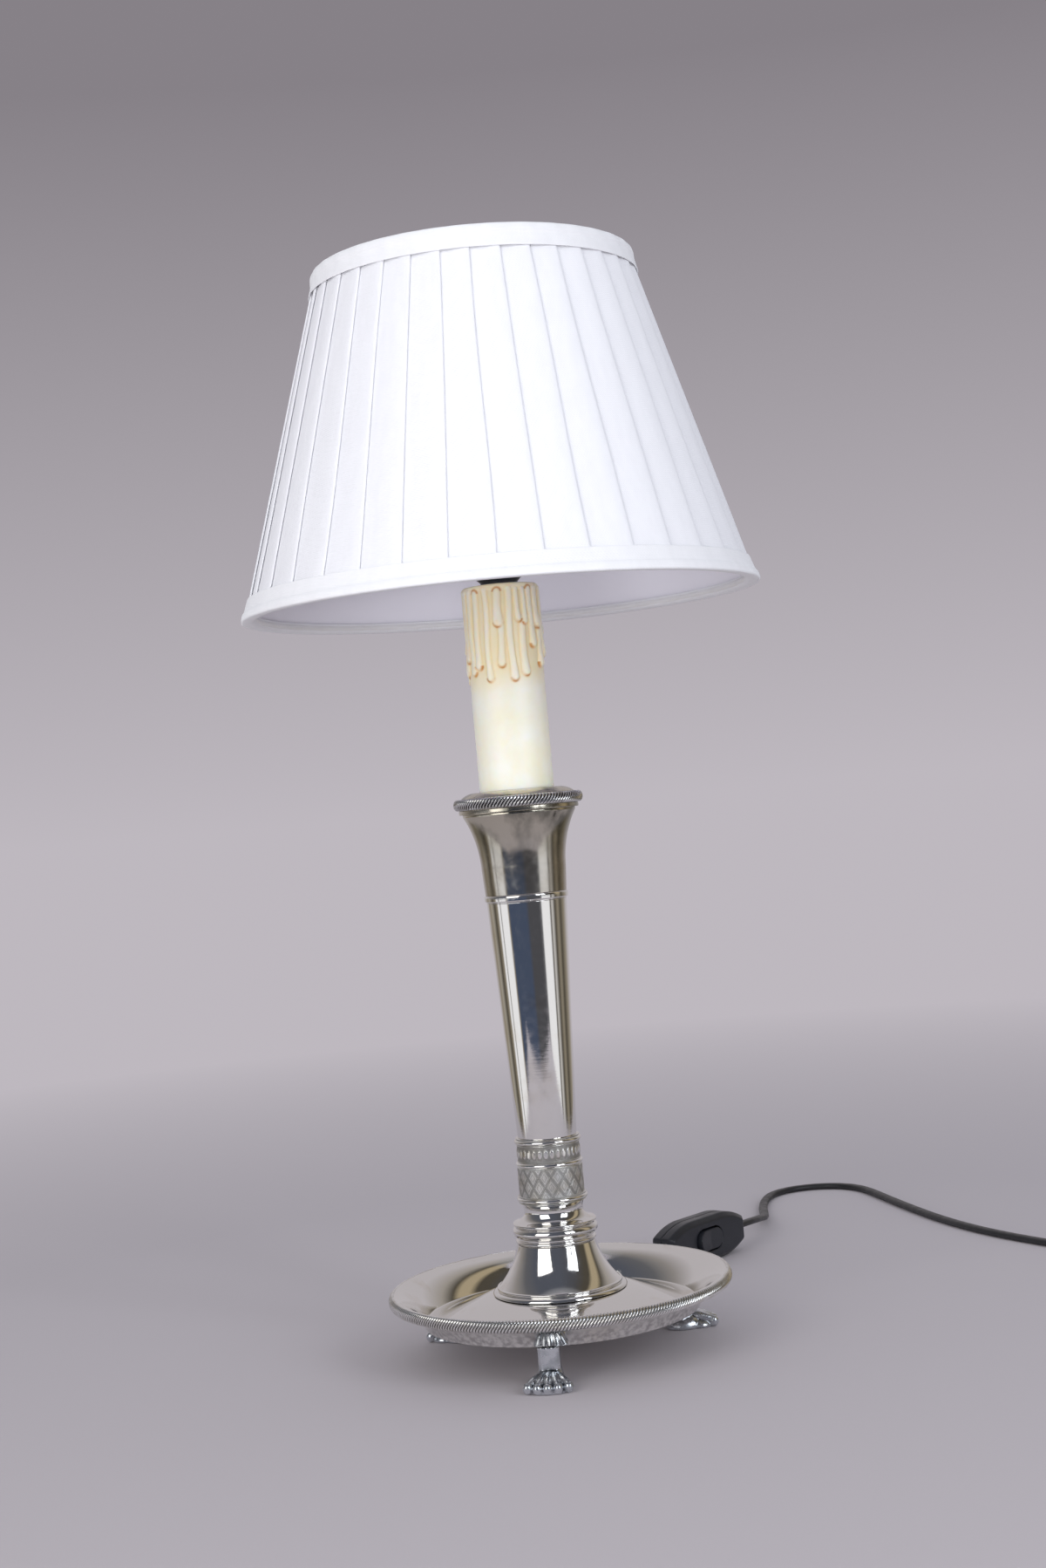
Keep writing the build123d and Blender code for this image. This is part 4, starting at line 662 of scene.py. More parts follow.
for corner_y, corner_z, cos, sin in tie_loop:
    for half_width, reach in ((-0.5, 0), (0.5, 0), (0.5, -1), (-0.5, -1)):
        across, out = half_width * TIE_WIDTH, TIE_CORNER + reach * TIE_THICKNESS
        tie_points.append(Vector(in_coil(across, corner_y + out * cos, corner_z + out * sin)) * MM)
coil_strap = new_piece("coil_strap", tie_points, tube_faces(len(tie_loop), 4, "joined"), sharp=30)
dress(coil_strap, "lamp", "black_plastic", "cord_tie")

print("tie of", len(coil_strap.data.polygons), "faces")

# %% [markdown]
# The stand is spun and turned brass under silver plate, polished by hand for many years. Its look is mostly
# what it reflects, so the finish keeps a low roughness and puts the age in three layers: broad clouds of
# yellow-brown tarnish, fine polishing lines round the axis, and a faint waviness of the sheet. Where the
# cloth doesn't reach, more is left: speckles under the dish, and mottling towards the top of the capital.

# %% Plated finishes
SPECKLE_HEIGHT, SPECKLE_FACING = (0.027, 0.020), (-0.15, -0.55)
MOTTLE_HEIGHT = (0.236, 0.256)


def by_height(tree, start, end):
    """0 at a height, 1 at another, in metres over the floor, held beyond both."""
    place = shader_node(tree, "TexCoord", {}).outputs["Object"]
    return span(tree, shader_node(tree, "SeparateXYZ", {0: place}).outputs["Z"], start, end)


def plate(slot, clean, tarnish, cloud, roughness, waviness):
    """Silver plate with clouds of tarnish between two noise levels, polishing lines and a wavy sheet."""
    tree, bsdf = new_finish(slot, clean, roughness[0], Metallic=1.0)
    clouds = span(tree, noise(tree, 38.0, 6.0), *cloud)
    aged = mixed(tree, clouds, clean, tarnish)
    feed(tree, bsdf, "Base Color", aged)
    rubbed = span(tree, noise(tree, 300.0, 5.0), 0.4, 0.75)
    dull = maths(tree, "MULTIPLY", maths(tree, "ADD", rubbed, clouds), roughness[1] - roughness[0])
    feed(tree, bsdf, "Roughness", maths(tree, "ADD", dull, roughness[0]))
    bumped(tree, bsdf, noise(tree, 24.0, 2.0), waviness, 0.6)
    bumped(tree, bsdf, noise(tree, 90.0, 4.0, (1, 1, 22)), 0.00001, 0.5)
    return tree, bsdf, aged


tree, bsdf, aged = plate(
    "silver_plate", (0.86, 0.85, 0.83), (0.66, 0.58, 0.47), (0.58, 0.92), (0.05, 0.12), 0.00006)
facing = shader_node(tree, "NewGeometry", {}).outputs["Normal"]
down = span(tree, shader_node(tree, "SeparateXYZ", {0: facing}).outputs["Z"], *SPECKLE_FACING)
low_under = maths(tree, "MULTIPLY", by_height(tree, *SPECKLE_HEIGHT), down)
speckled = maths(tree, "MULTIPLY", low_under, span(tree, noise(tree, 420.0, 6.0), 0.40, 0.60))
feed(tree, bsdf, "Base Color", mixed(tree, speckled, aged, (0.34, 0.33, 0.33)))

tree, bsdf, aged = plate(
    "worn_silver", (0.64, 0.62, 0.58), (0.38, 0.33, 0.25), (0.34, 0.72), (0.11, 0.20), 0.00008)
mottled = span(tree, noise(tree, 60.0, 8.0, (1, 1, 0.6)), 0.45, 0.57)
stained = mixed(tree, mottled, (0.25, 0.24, 0.20), (0.60, 0.56, 0.47))
feed(tree, bsdf, "Base Color", mixed(tree, by_height(tree, *MOTTLE_HEIGHT), aged, stained))
print(sorted(finish))

# %% [markdown]
# The dish is spun from sheet: a raised middle that slopes down to a narrow trough, and a wall that rises
# steeply and flares out to the rope border. The bell, the knop, the column, its ring and the capital are
# turned in one stack. All of them are lathe profiles whose heights and outer radii come from the imported
# solids, with eased corners for the light to catch.

# %% Dish
SHEET = 1.4
TROUGH_INNER, TROUGH_OUTER, UNDER_OUTER, MOUND_RADIUS = 60.5, 65.5, 66.7, 34.0
WALL_BOW, WALL_STEPS = 2.2, 24
ROD_HOLE = 5.15


def heights(node):
    """Lowest and highest height and the outer radius of a turned solid, in millimetres."""
    low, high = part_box(node)
    return low.z / MM, high.z / MM, high.x / MM


dish_base, rim_top, rim_radius = heights("dish")
dish_floor, rim_under = dish_base + SHEET, rim_top - SHEET
mound_top = heights("bell_foot")[0]
spun_dish = lathe("spun_dish", [
    (ROD_HOLE, mound_top - SHEET, 0.2), (MOUND_RADIUS, mound_top - SHEET, 6.0),
    (TROUGH_INNER, dish_base, 3.0), (UNDER_OUTER, dish_base, 1.6),
    *arc((UNDER_OUTER, dish_base), (rim_radius, rim_under), WALL_BOW, WALL_STEPS),
    (rim_radius, rim_under, 0.2), (rim_radius, rim_top, 0.35),
    *arc((rim_radius, rim_top), (TROUGH_OUTER, dish_floor), -WALL_BOW, WALL_STEPS),
    (TROUGH_OUTER, dish_floor, 2.4), (TROUGH_INNER, dish_floor, 3.0),
    (MOUND_RADIUS, mound_top, 6.0), (ROD_HOLE, mound_top, 0.2)], 320)
dress(spun_dish, "lamp", "silver_plate", "dish")
print("dish", round(rim_radius, 1), "mm to its rim")

# %% Bell and knop
BELL_NECK, BELL_WALL, BELL_BOW, BELL_INSIDE = 18.9, 1.6, 1.6, 28.6
KNOP_BORE, KNOP_SPIGOT = 10.5, 17.1
SPIGOT_DEPTH = 3


def bead(radius, base, height, swell, steps=12):
    """Half-round bead, going up a profile from its neck to its neck."""
    neck, top = radius - swell, base + height
    return [(neck, base, 0.0), *arc((neck, base), (neck, top), -swell, steps), (neck, top, 0.0)]


bell_base, bell_top, bell_radius = heights("bell_foot")
step_top, lip_top = bell_base + 2.3, bell_base + 3.3
turned_bell = lathe("turned_bell", [
    (BELL_INSIDE, bell_base, 0.2), (bell_radius, bell_base, 0.2),
    *arc((bell_radius, bell_base), (30.6, step_top - 0.5), -0.5, 8), (30.6, step_top - 0.5, 0.2),
    (30.0, step_top - 0.35, 0.1), (30.0, step_top, 0.1), (30.3, step_top + 0.1, 0.2), (30.3, lip_top, 0.4),
    (29.4, lip_top, 0.3), *arc((29.4, lip_top), (BELL_NECK, bell_top), BELL_BOW, 24),
    (BELL_NECK, bell_top, 0.2), (BELL_NECK - BELL_WALL, bell_top, 0.2),
    *arc((BELL_NECK - BELL_WALL, bell_top), (BELL_INSIDE, lip_top), -BELL_BOW, 12),
    (BELL_INSIDE, lip_top, 0.3)])
dress(turned_bell, "lamp", "silver_plate", "bell_foot")

knop_top = heights("chased_collar")[0]
cove_base = bell_top + 10.4
turned_knop = lathe("turned_knop", [
    (KNOP_BORE, bell_top - SPIGOT_DEPTH, 0.2), (KNOP_SPIGOT, bell_top - SPIGOT_DEPTH, 0.2),
    (KNOP_SPIGOT, bell_top, 0.1), (18.6, bell_top + 0.1, 0.2), *bead(19.4, bell_top + 0.3, 1.9, 0.8),
    (18.3, bell_top + 2.5, 0.2), (18.3, bell_top + 3.2, 0.2), *bead(20.6, bell_top + 3.4, 5.2, 2.0),
    (18.5, bell_top + 8.8, 0.2), *bead(20.2, bell_top + 9.0, 1.3, 0.5), (19.2, cove_base, 0.1),
    *arc((19.2, cove_base), (15.9, knop_top), 3.2, 18), (15.9, knop_top, 0.1), (KNOP_BORE, knop_top, 0.2)])
dress(turned_knop, "lamp", "silver_plate", "lower_knop")
print("knop up to", round(knop_top, 1), "mm")

# %% Column, ring and capital
COLUMN_FOOT, COLUMN_WALL = 14.3, 1.5
RING_BORE, RING_SPIGOT = 16.1, 17.6
CAPITAL_FOOT, CAPITAL_WAIST, CAPITAL_FLARE, CAPITAL_RIM = 19.7, 20.5, 27.1, 27.3
CAPITAL_WALL, CAPITAL_BOW = 1.5, 1.6
column_base, column_top, column_radius = heights("column_tube")
turned_column = lathe("turned_column", [
    (COLUMN_FOOT - COLUMN_WALL, column_base, 0.2), (COLUMN_FOOT, column_base, 0.2),
    (column_radius, column_top, 0.2), (column_radius - COLUMN_WALL, column_top, 0.2)])
dress(turned_column, "lamp", "silver_plate", "column_tube")

ring_top, capital_top, _ = heights("capital")
ring_radius = heights("column_ring")[2]
turned_ring = lathe("turned_ring", [
    (RING_BORE, column_top - SPIGOT_DEPTH, 0.2), (RING_SPIGOT, column_top - SPIGOT_DEPTH, 0.2),
    (RING_SPIGOT, column_top, 0.1), (19.5, column_top + 0.05, 0.1), (19.5, column_top + 0.5, 0.1),
    (ring_radius, column_top + 0.8, 0.4), (ring_radius, ring_top - 0.4, 0.5), (19.9, ring_top, 0.2),
    (RING_SPIGOT, ring_top, 0.1), (RING_SPIGOT, ring_top + SPIGOT_DEPTH, 0.2),
    (RING_BORE, ring_top + SPIGOT_DEPTH, 0.2)])
dress(turned_ring, "lamp", "silver_plate", "column_ring")

waist = ring_top + 13
flare, rim_inside = (CAPITAL_FLARE, capital_top - 1.4), (CAPITAL_RIM - CAPITAL_WALL, capital_top - 1)
waist_outside, waist_inside = (CAPITAL_WAIST, waist), (CAPITAL_WAIST - CAPITAL_WALL, waist)
turned_capital = lathe("turned_capital", [
    (CAPITAL_FOOT - CAPITAL_WALL, ring_top, 0.2), (CAPITAL_FOOT, ring_top, 0.3), (*waist_outside, 5.0),
    *arc(waist_outside, flare, CAPITAL_BOW, 20), (*flare, 0.2), (CAPITAL_RIM, capital_top - 1.1, 0.3),
    (CAPITAL_RIM, capital_top, 0.3), (CAPITAL_RIM - CAPITAL_WALL, capital_top, 0.2), (*rim_inside, 0.2),
    *arc(rim_inside, waist_inside, -CAPITAL_BOW, 12), (*waist_inside, 2.0)])
dress(turned_capital, "lamp", "worn_silver", "capital")
print("stand up to", round(capital_top, 1), "mm")

# %% [markdown]
# Two rope borders edge the dish and the nozzle: rolled strip with slanting teeth, bright on top and black
# with old polish in the recesses. Bump alone would leave a smooth silhouette, so the teeth are in the mesh,
# and each point also stores how deep it lies, which darkens the recesses in the finish.

# %% Rope borders
DISH_TEETH, DISH_SLANT, DISH_TOOTH, DISH_FLAT = 325, -2.3, 0.80, 0.3
NOZZLE_TEETH, NOZZLE_SLANT, NOZZLE_TOOTH, NOZZLE_FLAT = 112, -2.2, 0.95, 1.9
NOZZLE_INNER = 27.75
POINTS_PER_TOOTH = 8


def store(piece, name, values):
    """Keep one number for each point of a mesh, for its finish to read."""
    layer = piece.data.attributes.new(name, "FLOAT", "POINT")
    layer.data.foreach_set("value", np.ascontiguousarray(values, dtype=np.float32).ravel())


def attribute(tree, name):
    """A number stored on each point of the mesh."""
    return shader_node(tree, "Attribute", {}, attribute_name=name).outputs["Fac"]


def rope_ring(name, section, teeth, slant, depth):
    """Ring of slanting rounded teeth on a closed section of (radius, height, share of the tooth depth)."""
    angles = np.linspace(0, 2 * math.pi, teeth * POINTS_PER_TOOTH, endpoint=False)[None, :]
    radius, height, share = (np.array(column)[:, None] for column in zip(*section))
    low = (0.5 + 0.5 * np.cos(teeth * angles + slant * height)) ** 1.3
    middle_r, middle_z = radius.mean(), height.mean()
    shrink = depth * share * low / np.maximum(np.hypot(radius - middle_r, height - middle_z), 0.5)
    piece = turned_piece(name, radius + (middle_r - radius) * shrink, angles,
                         height + (middle_z - height) * shrink, sharp=80)
    store(piece, "hollow", low * share)
    return piece


def half_round(inner, outer, base, top, flat, steps=14):
    """Section of a rope strip: a flat back and a half-round front that starts past a flat edge."""
    rows = [(inner, base, 0.0)]
    for step in range(steps + 1):
        turn = math.pi * (step / steps - 0.5)
        rows.append((inner + flat + (outer - inner - flat) * math.cos(turn),
                     (base + top) / 2 + (top - base) / 2 * math.sin(turn), math.cos(turn) ** 0.4))
    return rows + [(inner, top, 0.0)]


tree, bsdf = new_finish("rope_silver", (0.80, 0.79, 0.76), 0.16, Metallic=1.0)
high_up = by_height(tree, 0.1, 0.2)
deep = span(tree, attribute(tree, "hollow"), 0.30, 0.65)
worn = span(tree, noise(tree, 160.0, 4.0), 0.45, 0.75)
bright = mixed(tree, worn, (0.90, 0.90, 0.89), (0.74, 0.71, 0.66))
dull = mixed(tree, worn, (0.74, 0.74, 0.74), (0.46, 0.44, 0.41))
recess = mixed(tree, high_up, (0.20, 0.195, 0.18), (0.010, 0.010, 0.011))
feed(tree, bsdf, "Base Color", mixed(tree, deep, mixed(tree, high_up, bright, dull), recess))
feed(tree, bsdf, "Roughness", span(tree, deep, 0.0, 1.0, 0.16, 0.6))

rope_low, rope_high, rope_outer = heights("dish_rope")
dish_strip = half_round(rim_radius, rope_outer, rope_low, rope_high, DISH_FLAT)
dish_border = rope_ring("dish_border", dish_strip, DISH_TEETH, DISH_SLANT, DISH_TOOTH)
dress(dish_border, "lamp", "rope_silver", "dish_rope")
nozzle_low, nozzle_high, nozzle_outer = heights("nozzle_rope")
nozzle_strip = half_round(NOZZLE_INNER, nozzle_outer, nozzle_low, nozzle_high, NOZZLE_FLAT)
nozzle_border = rope_ring("nozzle_border", nozzle_strip, NOZZLE_TEETH, NOZZLE_SLANT, NOZZLE_TOOTH)
dress(nozzle_border, "lamp", "rope_silver", "nozzle_rope")
print(DISH_TEETH, "and", NOZZLE_TEETH, "teeth")

# %% [markdown]
# A domed plate closes the capital inside the upper rope. It has a skirt that drops into the capital, a ledge
# for the rope, and a raised seat that centres the candle sleeve, so one lathe profile gives all of it.

# %% Nozzle plate
PLATE_HUB, PLATE_SEAT, SLEEVE_SEAT = 8.0, 19.7, 15.65
SKIRT_INNER, SKIRT_OUTER = 24.15, 25.65
LEDGE_RADIUS, DOME_RADIUS, DOME_BOW = 29.0, 27.6, 0.9
SEAT_HEIGHT, PLATE_THICKNESS = 4, 3.3
plate_base, plate_top, _ = heights("nozzle_plate")
seat = plate_top - SEAT_HEIGHT
ceiling = seat - PLATE_THICKNESS
domed_plate = lathe("domed_plate", [
    (ROD_HOLE, plate_base, 0.1), (PLATE_HUB, plate_base, 0.1), (PLATE_HUB, ceiling, 0.3),
    (SKIRT_INNER, ceiling, 0.3), (SKIRT_INNER, plate_base, 0.1), (SKIRT_OUTER, plate_base, 0.1),
    (SKIRT_OUTER, capital_top, 0.1), (LEDGE_RADIUS, capital_top, 0.5), (LEDGE_RADIUS, nozzle_low, 0.5),
    (DOME_RADIUS, nozzle_low, 0.2), (DOME_RADIUS, nozzle_high, 0.4),
    *arc((DOME_RADIUS, nozzle_high), (PLATE_SEAT, seat), -DOME_BOW, 10), (PLATE_SEAT, seat, 0.2),
    (SLEEVE_SEAT, seat, 0.1), (SLEEVE_SEAT, plate_top, 0.2), (ROD_HOLE, plate_top, 0.1)])
dress(domed_plate, "lamp", "worn_silver", "nozzle_plate")
print("sleeve's seat at", round(seat, 1), "mm")

# %% [markdown]
# The chased collar has three plain beads between thin fillets, a wide band with a lattice of double lines
# cut into a punched ground, and a small stamped band. The pattern goes round the axis, so the collar is one
# grid of points whose radius is a function of angle and height, and it stores the depth for the dark lines
# of the finish.

# %% Chased collar
COLLAR_AROUND, COLLAR_ROWS = 960, 150
COLLAR_GROUND, COLLAR_BORE = 15.3, 11.5
LATTICE_CELLS, LATTICE_TURN, LATTICE_HEIGHT = 16, 1.4, 13.4
LATTICE_RADIUS, CUT_DEPTH, CUT_WIDTH = 15.75, 0.25, 0.035
LATTICE_CUTS = ((0.47, 1.0), (0.38, 1.0), (0.20, 0.7))
STAMP_COUNT, STAMP_BASE, STAMP_HEIGHT, STAMP_RADIUS, STAMP_RELIEF = 32, 20.2, 7.5, 15.05, 0.40
BEAD_HEIGHT, BEAD_SWELL = 3.4, 1.2
BEADS = ((0.0, 17.1), (16.8, 16.2), (27.7, 16.2))


def line_at(value, place, width):
    """1 where a value is at its place, falling to 0 at width from it."""
    return np.clip(1 - np.abs(value - place) / width, 0, 1)


collar_base, collar_top, _ = heights("chased_collar")
angles = np.linspace(0, 2 * math.pi, COLLAR_AROUND, endpoint=False)[None, :]
climb = np.linspace(0, collar_top - collar_base, COLLAR_ROWS)[:, None]
lattice = (climb - BEAD_HEIGHT) / LATTICE_HEIGHT
cells = LATTICE_CELLS * angles / (2 * math.pi)
cell_u = np.remainder(cells + LATTICE_TURN * lattice, 1) - 0.5
cell_v = np.remainder(cells - LATTICE_TURN * lattice, 1) - 0.5
edge_near = np.maximum(np.abs(cell_u), np.abs(cell_v))
cuts = np.max([depth * line_at(edge_near, place, CUT_WIDTH) for place, depth in LATTICE_CUTS], axis=0)
in_lattice = (lattice > 0) & (lattice < 1)
collar_radius = np.where(in_lattice, LATTICE_RADIUS - CUT_DEPTH * cuts, COLLAR_GROUND)
collar_dark = np.where(in_lattice, 0.12 + 0.75 * cuts, 0.0)

stamped = (climb - STAMP_BASE) / STAMP_HEIGHT
motif = np.abs(np.remainder(STAMP_COUNT * angles / (2 * math.pi), 1) - 0.5) * 2
leaf = np.clip(1.3 - np.hypot(motif * 1.3, (stamped - 0.5) * 3.4) ** 3, 0, 1)
in_stamped = (stamped > 0) & (stamped < 1)
collar_radius = np.where(in_stamped, STAMP_RADIUS + STAMP_RELIEF * leaf, collar_radius)
collar_dark = np.where(in_stamped, 0.60 * (1 - leaf), collar_dark)
for base, radius in BEADS:
    share = (climb - base) / BEAD_HEIGHT
    swell = BEAD_SWELL * np.sqrt(1 - np.clip((share - 0.5) / 0.34, -1, 1) ** 2)
    fillet = np.where(np.abs(share - 0.5) > 0.42, 0.5, 0.0)
    on_bead = (share >= 0) & (share <= 1)
    collar_radius = np.where(on_bead, radius - BEAD_SWELL + np.maximum(swell, fillet), collar_radius)
    collar_dark = np.where(on_bead, 0.6 * line_at(np.abs(share - 0.5), 0.375, 0.05), collar_dark)
print("collar with", LATTICE_CELLS, "cells and", STAMP_COUNT, "leaves round it")

# %% Chased collar: mesh and finish
bore_rows = np.array([[collar_top], [collar_base]])
bore = np.zeros((len(bore_rows), COLLAR_AROUND))
engraved_collar = turned_piece("engraved_collar", np.vstack([collar_radius, bore + COLLAR_BORE]), angles,
                               np.vstack([collar_base + climb, bore_rows]), sharp=70)
store(engraved_collar, "hollow", np.vstack([collar_dark, bore]))

tree, bsdf = new_finish("chased_silver", (0.78, 0.77, 0.73), 0.2, Metallic=1.0)
deep = attribute(tree, "hollow")
worn = span(tree, noise(tree, 140.0, 5.0), 0.42, 0.75)
crests = mixed(tree, worn, (0.88, 0.88, 0.86), (0.72, 0.68, 0.60))
feed(tree, bsdf, "Base Color", mixed(tree, deep, crests, (0.13, 0.125, 0.11)))
feed(tree, bsdf, "Roughness", span(tree, deep, 0.0, 0.15, 0.12, 0.48))
place = shader_node(tree, "TexCoord", {}).outputs["Object"]
punched = shader_node(tree, "TexVoronoi", {"Vector": place, "Scale": 1500.0}).outputs["Distance"]
bumped(tree, bsdf, maths(tree, "MULTIPLY", punched, deep), 0.0002)
dress(engraved_collar, "lamp", "chased_silver", "chased_collar")
print("collar of", len(engraved_collar.data.polygons), "faces")

# %% [markdown]
# The three feet are cast lion paws on bevelled shanks. Casting melts all its forms into one, so the paw is
# put together from overlapping ellipsoids, a sole and five toes that fan out, and then remeshed into one
# skin. The skin is compared with a smoothed copy of itself to find the hollows, where old polish stays dark.

# %% Paw feet: helpers and finish
def mark_hollows(piece, passes, depth):
    """Store how far each point lies below its smoothed surroundings, 0 on a crest and 1 at depth."""
    mesh = piece.data
    places = np.empty(len(mesh.vertices) * 3)
    mesh.vertices.foreach_get("co", places)
    places = places.reshape(-1, 3)
    normals = np.empty(len(mesh.vertices) * 3)
    mesh.vertices.foreach_get("normal", normals)
    edges = np.empty(len(mesh.edges) * 2, dtype=np.int64)
    mesh.edges.foreach_get("vertices", edges)
    ends = np.concatenate([edges.reshape(-1, 2), edges.reshape(-1, 2)[:, ::-1]])
    count = np.bincount(ends[:, 0], minlength=len(places))[:, None]
    soft = places
    for _ in range(passes):
        soft = np.stack([np.bincount(ends[:, 0], soft[ends[:, 1], axis], len(places)) for axis in range(3)],
                        axis=1) / count
    below = ((soft - places) * normals.reshape(-1, 3)).sum(axis=1)
    store(piece, "hollow", np.clip(below / (depth * MM), 0, 1))


def blob(form, centre, half_sizes, turn=0.0, tilt=0.0):
    """Ellipsoid in millimetres, turned about Z and tilted nose down."""
    place = (Matrix.Translation(centre) @ Matrix.Rotation(turn, 4, "Z") @ Matrix.Rotation(tilt, 4, "Y")
             @ Matrix.Diagonal((*half_sizes, 1.0)))
    bmesh.ops.create_icosphere(form, subdivisions=4, radius=1.0, matrix=place)


tree, bsdf = new_finish("cast_silver", (0.68, 0.70, 0.73), 0.24, Metallic=1.0)
worn = span(tree, noise(tree, 200.0, 5.0), 0.42, 0.72)
crests = mixed(tree, worn, (0.72, 0.75, 0.79), (0.50, 0.53, 0.56))
feed(tree, bsdf, "Base Color", mixed(tree, attribute(tree, "hollow"), crests, (0.08, 0.085, 0.10)))
feed(tree, bsdf, "Roughness", span(tree, worn, 0.0, 1.0, 0.20, 0.38))
bumped(tree, bsdf, noise(tree, 700.0, 3.0), 0.00012)
print("cast finish ready")

# %% Paw feet
SOLE = (((66.0, 0, 0.8), (10.5, 8.4, 6.2)), ((71.8, 0, 0.6), (8.0, 10.2, 4.3)))
TOE_PLACES = (-9.2, -4.7, 0.0, 4.7, 9.2)
TOE_REACH, TOE_CURVE, TOE_TOP = 79.2, 0.030, 3.0
TOE_OVERLAP, TOE_HALF = 1.8, (2.3, 2.5)
KNUCKLE, KNUCKLE_SPREAD, KNUCKLE_DROP = Vector((67.4, 0, 6.3)), 0.34, 0.05
PAD_SHIFT, PAD_HALF = Vector((-0.3, 0, -0.6)), (2.5, 2.25, 2.7)
SHANK_MIDDLE, SHANK_BEVEL = 63.6, 1.7
SHANK_SECTIONS = ((2.0, 12.0, 9.0), (6.4, 11.0, 8.4), (8.0, 10.2, 8.0), (17.95, 10.0, 8.0))
PAW_VOXEL, PAW_PASSES = 0.33, 3
HOLLOW_PASSES, HOLLOW_DEPTH = 12, 0.26


def paw(name, azimuth):
    """One paw foot, pointing outwards along an azimuth."""
    form = bmesh.new()
    for centre, half_sizes in SOLE:
        blob(form, centre, half_sizes)
    for y in TOE_PLACES:
        tip = Vector((TOE_REACH - TOE_CURVE * y * y, y, TOE_TOP))
        root = KNUCKLE + Vector((0, KNUCKLE_SPREAD * y, -KNUCKLE_DROP * abs(y)))
        along = tip - root
        fan = math.atan2(along.y, along.x)
        tilt = math.atan2(-along.z, along.to_2d().length)
        blob(form, (root + tip) / 2, (along.length / 2 + TOE_OVERLAP, *TOE_HALF), fan, tilt)
        blob(form, tip + PAD_SHIFT, PAD_HALF, fan)
    skin = []
    for height, wide, deep in SHANK_SECTIONS:
        a, b, cut = deep / 2, wide / 2, SHANK_BEVEL
        corners = ((a, b - cut), (a - cut, b), (cut - a, b), (-a, b - cut), (-a, cut - b), (cut - a, -b),
                   (a - cut, -b), (a, cut - b))
        skin += [form.verts.new((SHANK_MIDDLE + x, y, height)) for x, y in corners]
    for face in tube_faces(len(SHANK_SECTIONS), len(corners), "capped"):
        form.faces.new([skin[corner] for corner in face])
    form.transform(Matrix.Rotation(azimuth, 4, "Z") @ Matrix.Scale(MM, 4))
    piece = melted(from_form(name, form), PAW_VOXEL, PAW_PASSES)
    for vertex in piece.data.vertices:
        vertex.co.z = max(vertex.co.z, 0.0)
    mark_hollows(piece, HOLLOW_PASSES, HOLLOW_DEPTH)
    return piece


for name, azimuth in (("front", -97), ("right", 23), ("left", 143)):
    dress(paw("paw_" + name, math.radians(azimuth)), "lamp", "cast_silver", "paw_foot_" + name)
    print("paw", name, "at", azimuth, "degrees")

# %% [markdown]
# The candle is a resin sleeve cast with wax drips. It is a tube whose radius is a function of angle and
# height: each drip is a ridge that runs down from the top and ends in a rounded lobe. The drips on the side
# that the picture shows follow it, and the same kind goes on round the back. Each is an azimuth from the
# camera's side, the heights of its top and bottom, its width, and how proud it stands. The nearness of a
# drip's edge is stored, because the resin is tinted amber there.

# %% Candle sleeve: the drips
SLEEVE_AROUND, SLEEVE_ROWS = 420, 190
SLEEVE_RADIUS, SLEEVE_BORE, SLEEVE_INSET, SLEEVE_TOP_WALL = 18.4, 15.8, 0.35, 3
DRIPS = (
    (-84, 366.0, 326.0, 7.0, 0.9), (-72, 366.0, 333.0, 5.6, 0.8), (-58, 366.2, 326.5, 4.6, 0.8),
    (-44, 365.8, 329.0, 4.4, 0.9), (-25.5, 366.6, 322.9, 3.8, 0.8), (-5.5, 365.6, 348.6, 5.0, 1.0),
    (-4.5, 352.0, 329.3, 4.0, 0.9), (11, 366.4, 322.4, 4.2, 0.9), (25, 366.0, 350.5, 3.2, 1.0),
    (35, 366.0, 349.2, 3.2, 1.0), (31, 352.0, 324.6, 4.8, 1.0), (48, 366.2, 338.0, 4.6, 1.0),
    (62, 366.0, 347.3, 5.4, 1.2), (66, 350.0, 328.4, 5.2, 1.2), (82, 366.0, 333.0, 6.0, 1.3),
    (97, 366.0, 344.0, 5.0, 1.1), (112, 366.2, 322.0, 5.4, 0.9), (127, 366.0, 336.0, 4.4, 0.9),
    (141, 366.4, 326.0, 4.0, 0.8), (156, 366.0, 346.0, 5.2, 1.0), (158, 350.0, 327.0, 4.2, 0.9),
    (174, 366.2, 321.5, 4.6, 0.9), (190, 366.0, 338.0, 5.0, 1.0), (206, 366.4, 327.5, 4.2, 0.8),
    (221, 366.0, 342.5, 5.2, 1.0), (223, 346.0, 324.5, 4.2, 0.9), (238, 366.2, 330.5, 4.6, 0.9),
    (254, 366.0, 322.5, 4.6, 0.9), (265, 366.0, 337.0, 4.2, 0.9))
HOOKED = (-44, -5.5, 48, 127, 190, 254)
DRIP_RELIEF = 1.55
LEAN, LEAN_LENGTH = 0.5, 7.0
SEAM_WIDTH, HOOK_WIDTH, GLOW_WIDTH = 0.60, 0.55, 0.8
TINT_BASE, TINT_FADE = 318, 10
sleeve_base, sleeve_top, _ = heights("candle_sleeve")
angles = np.linspace(0, 2 * math.pi, SLEEVE_AROUND, endpoint=False)[None, :]
level = np.linspace(sleeve_base, sleeve_top, SLEEVE_ROWS)[:, None]
wax = np.zeros((SLEEVE_ROWS, SLEEVE_AROUND))
seam = np.zeros((SLEEVE_ROWS, SLEEVE_AROUND))
glow = np.zeros((SLEEVE_ROWS, SLEEVE_AROUND))
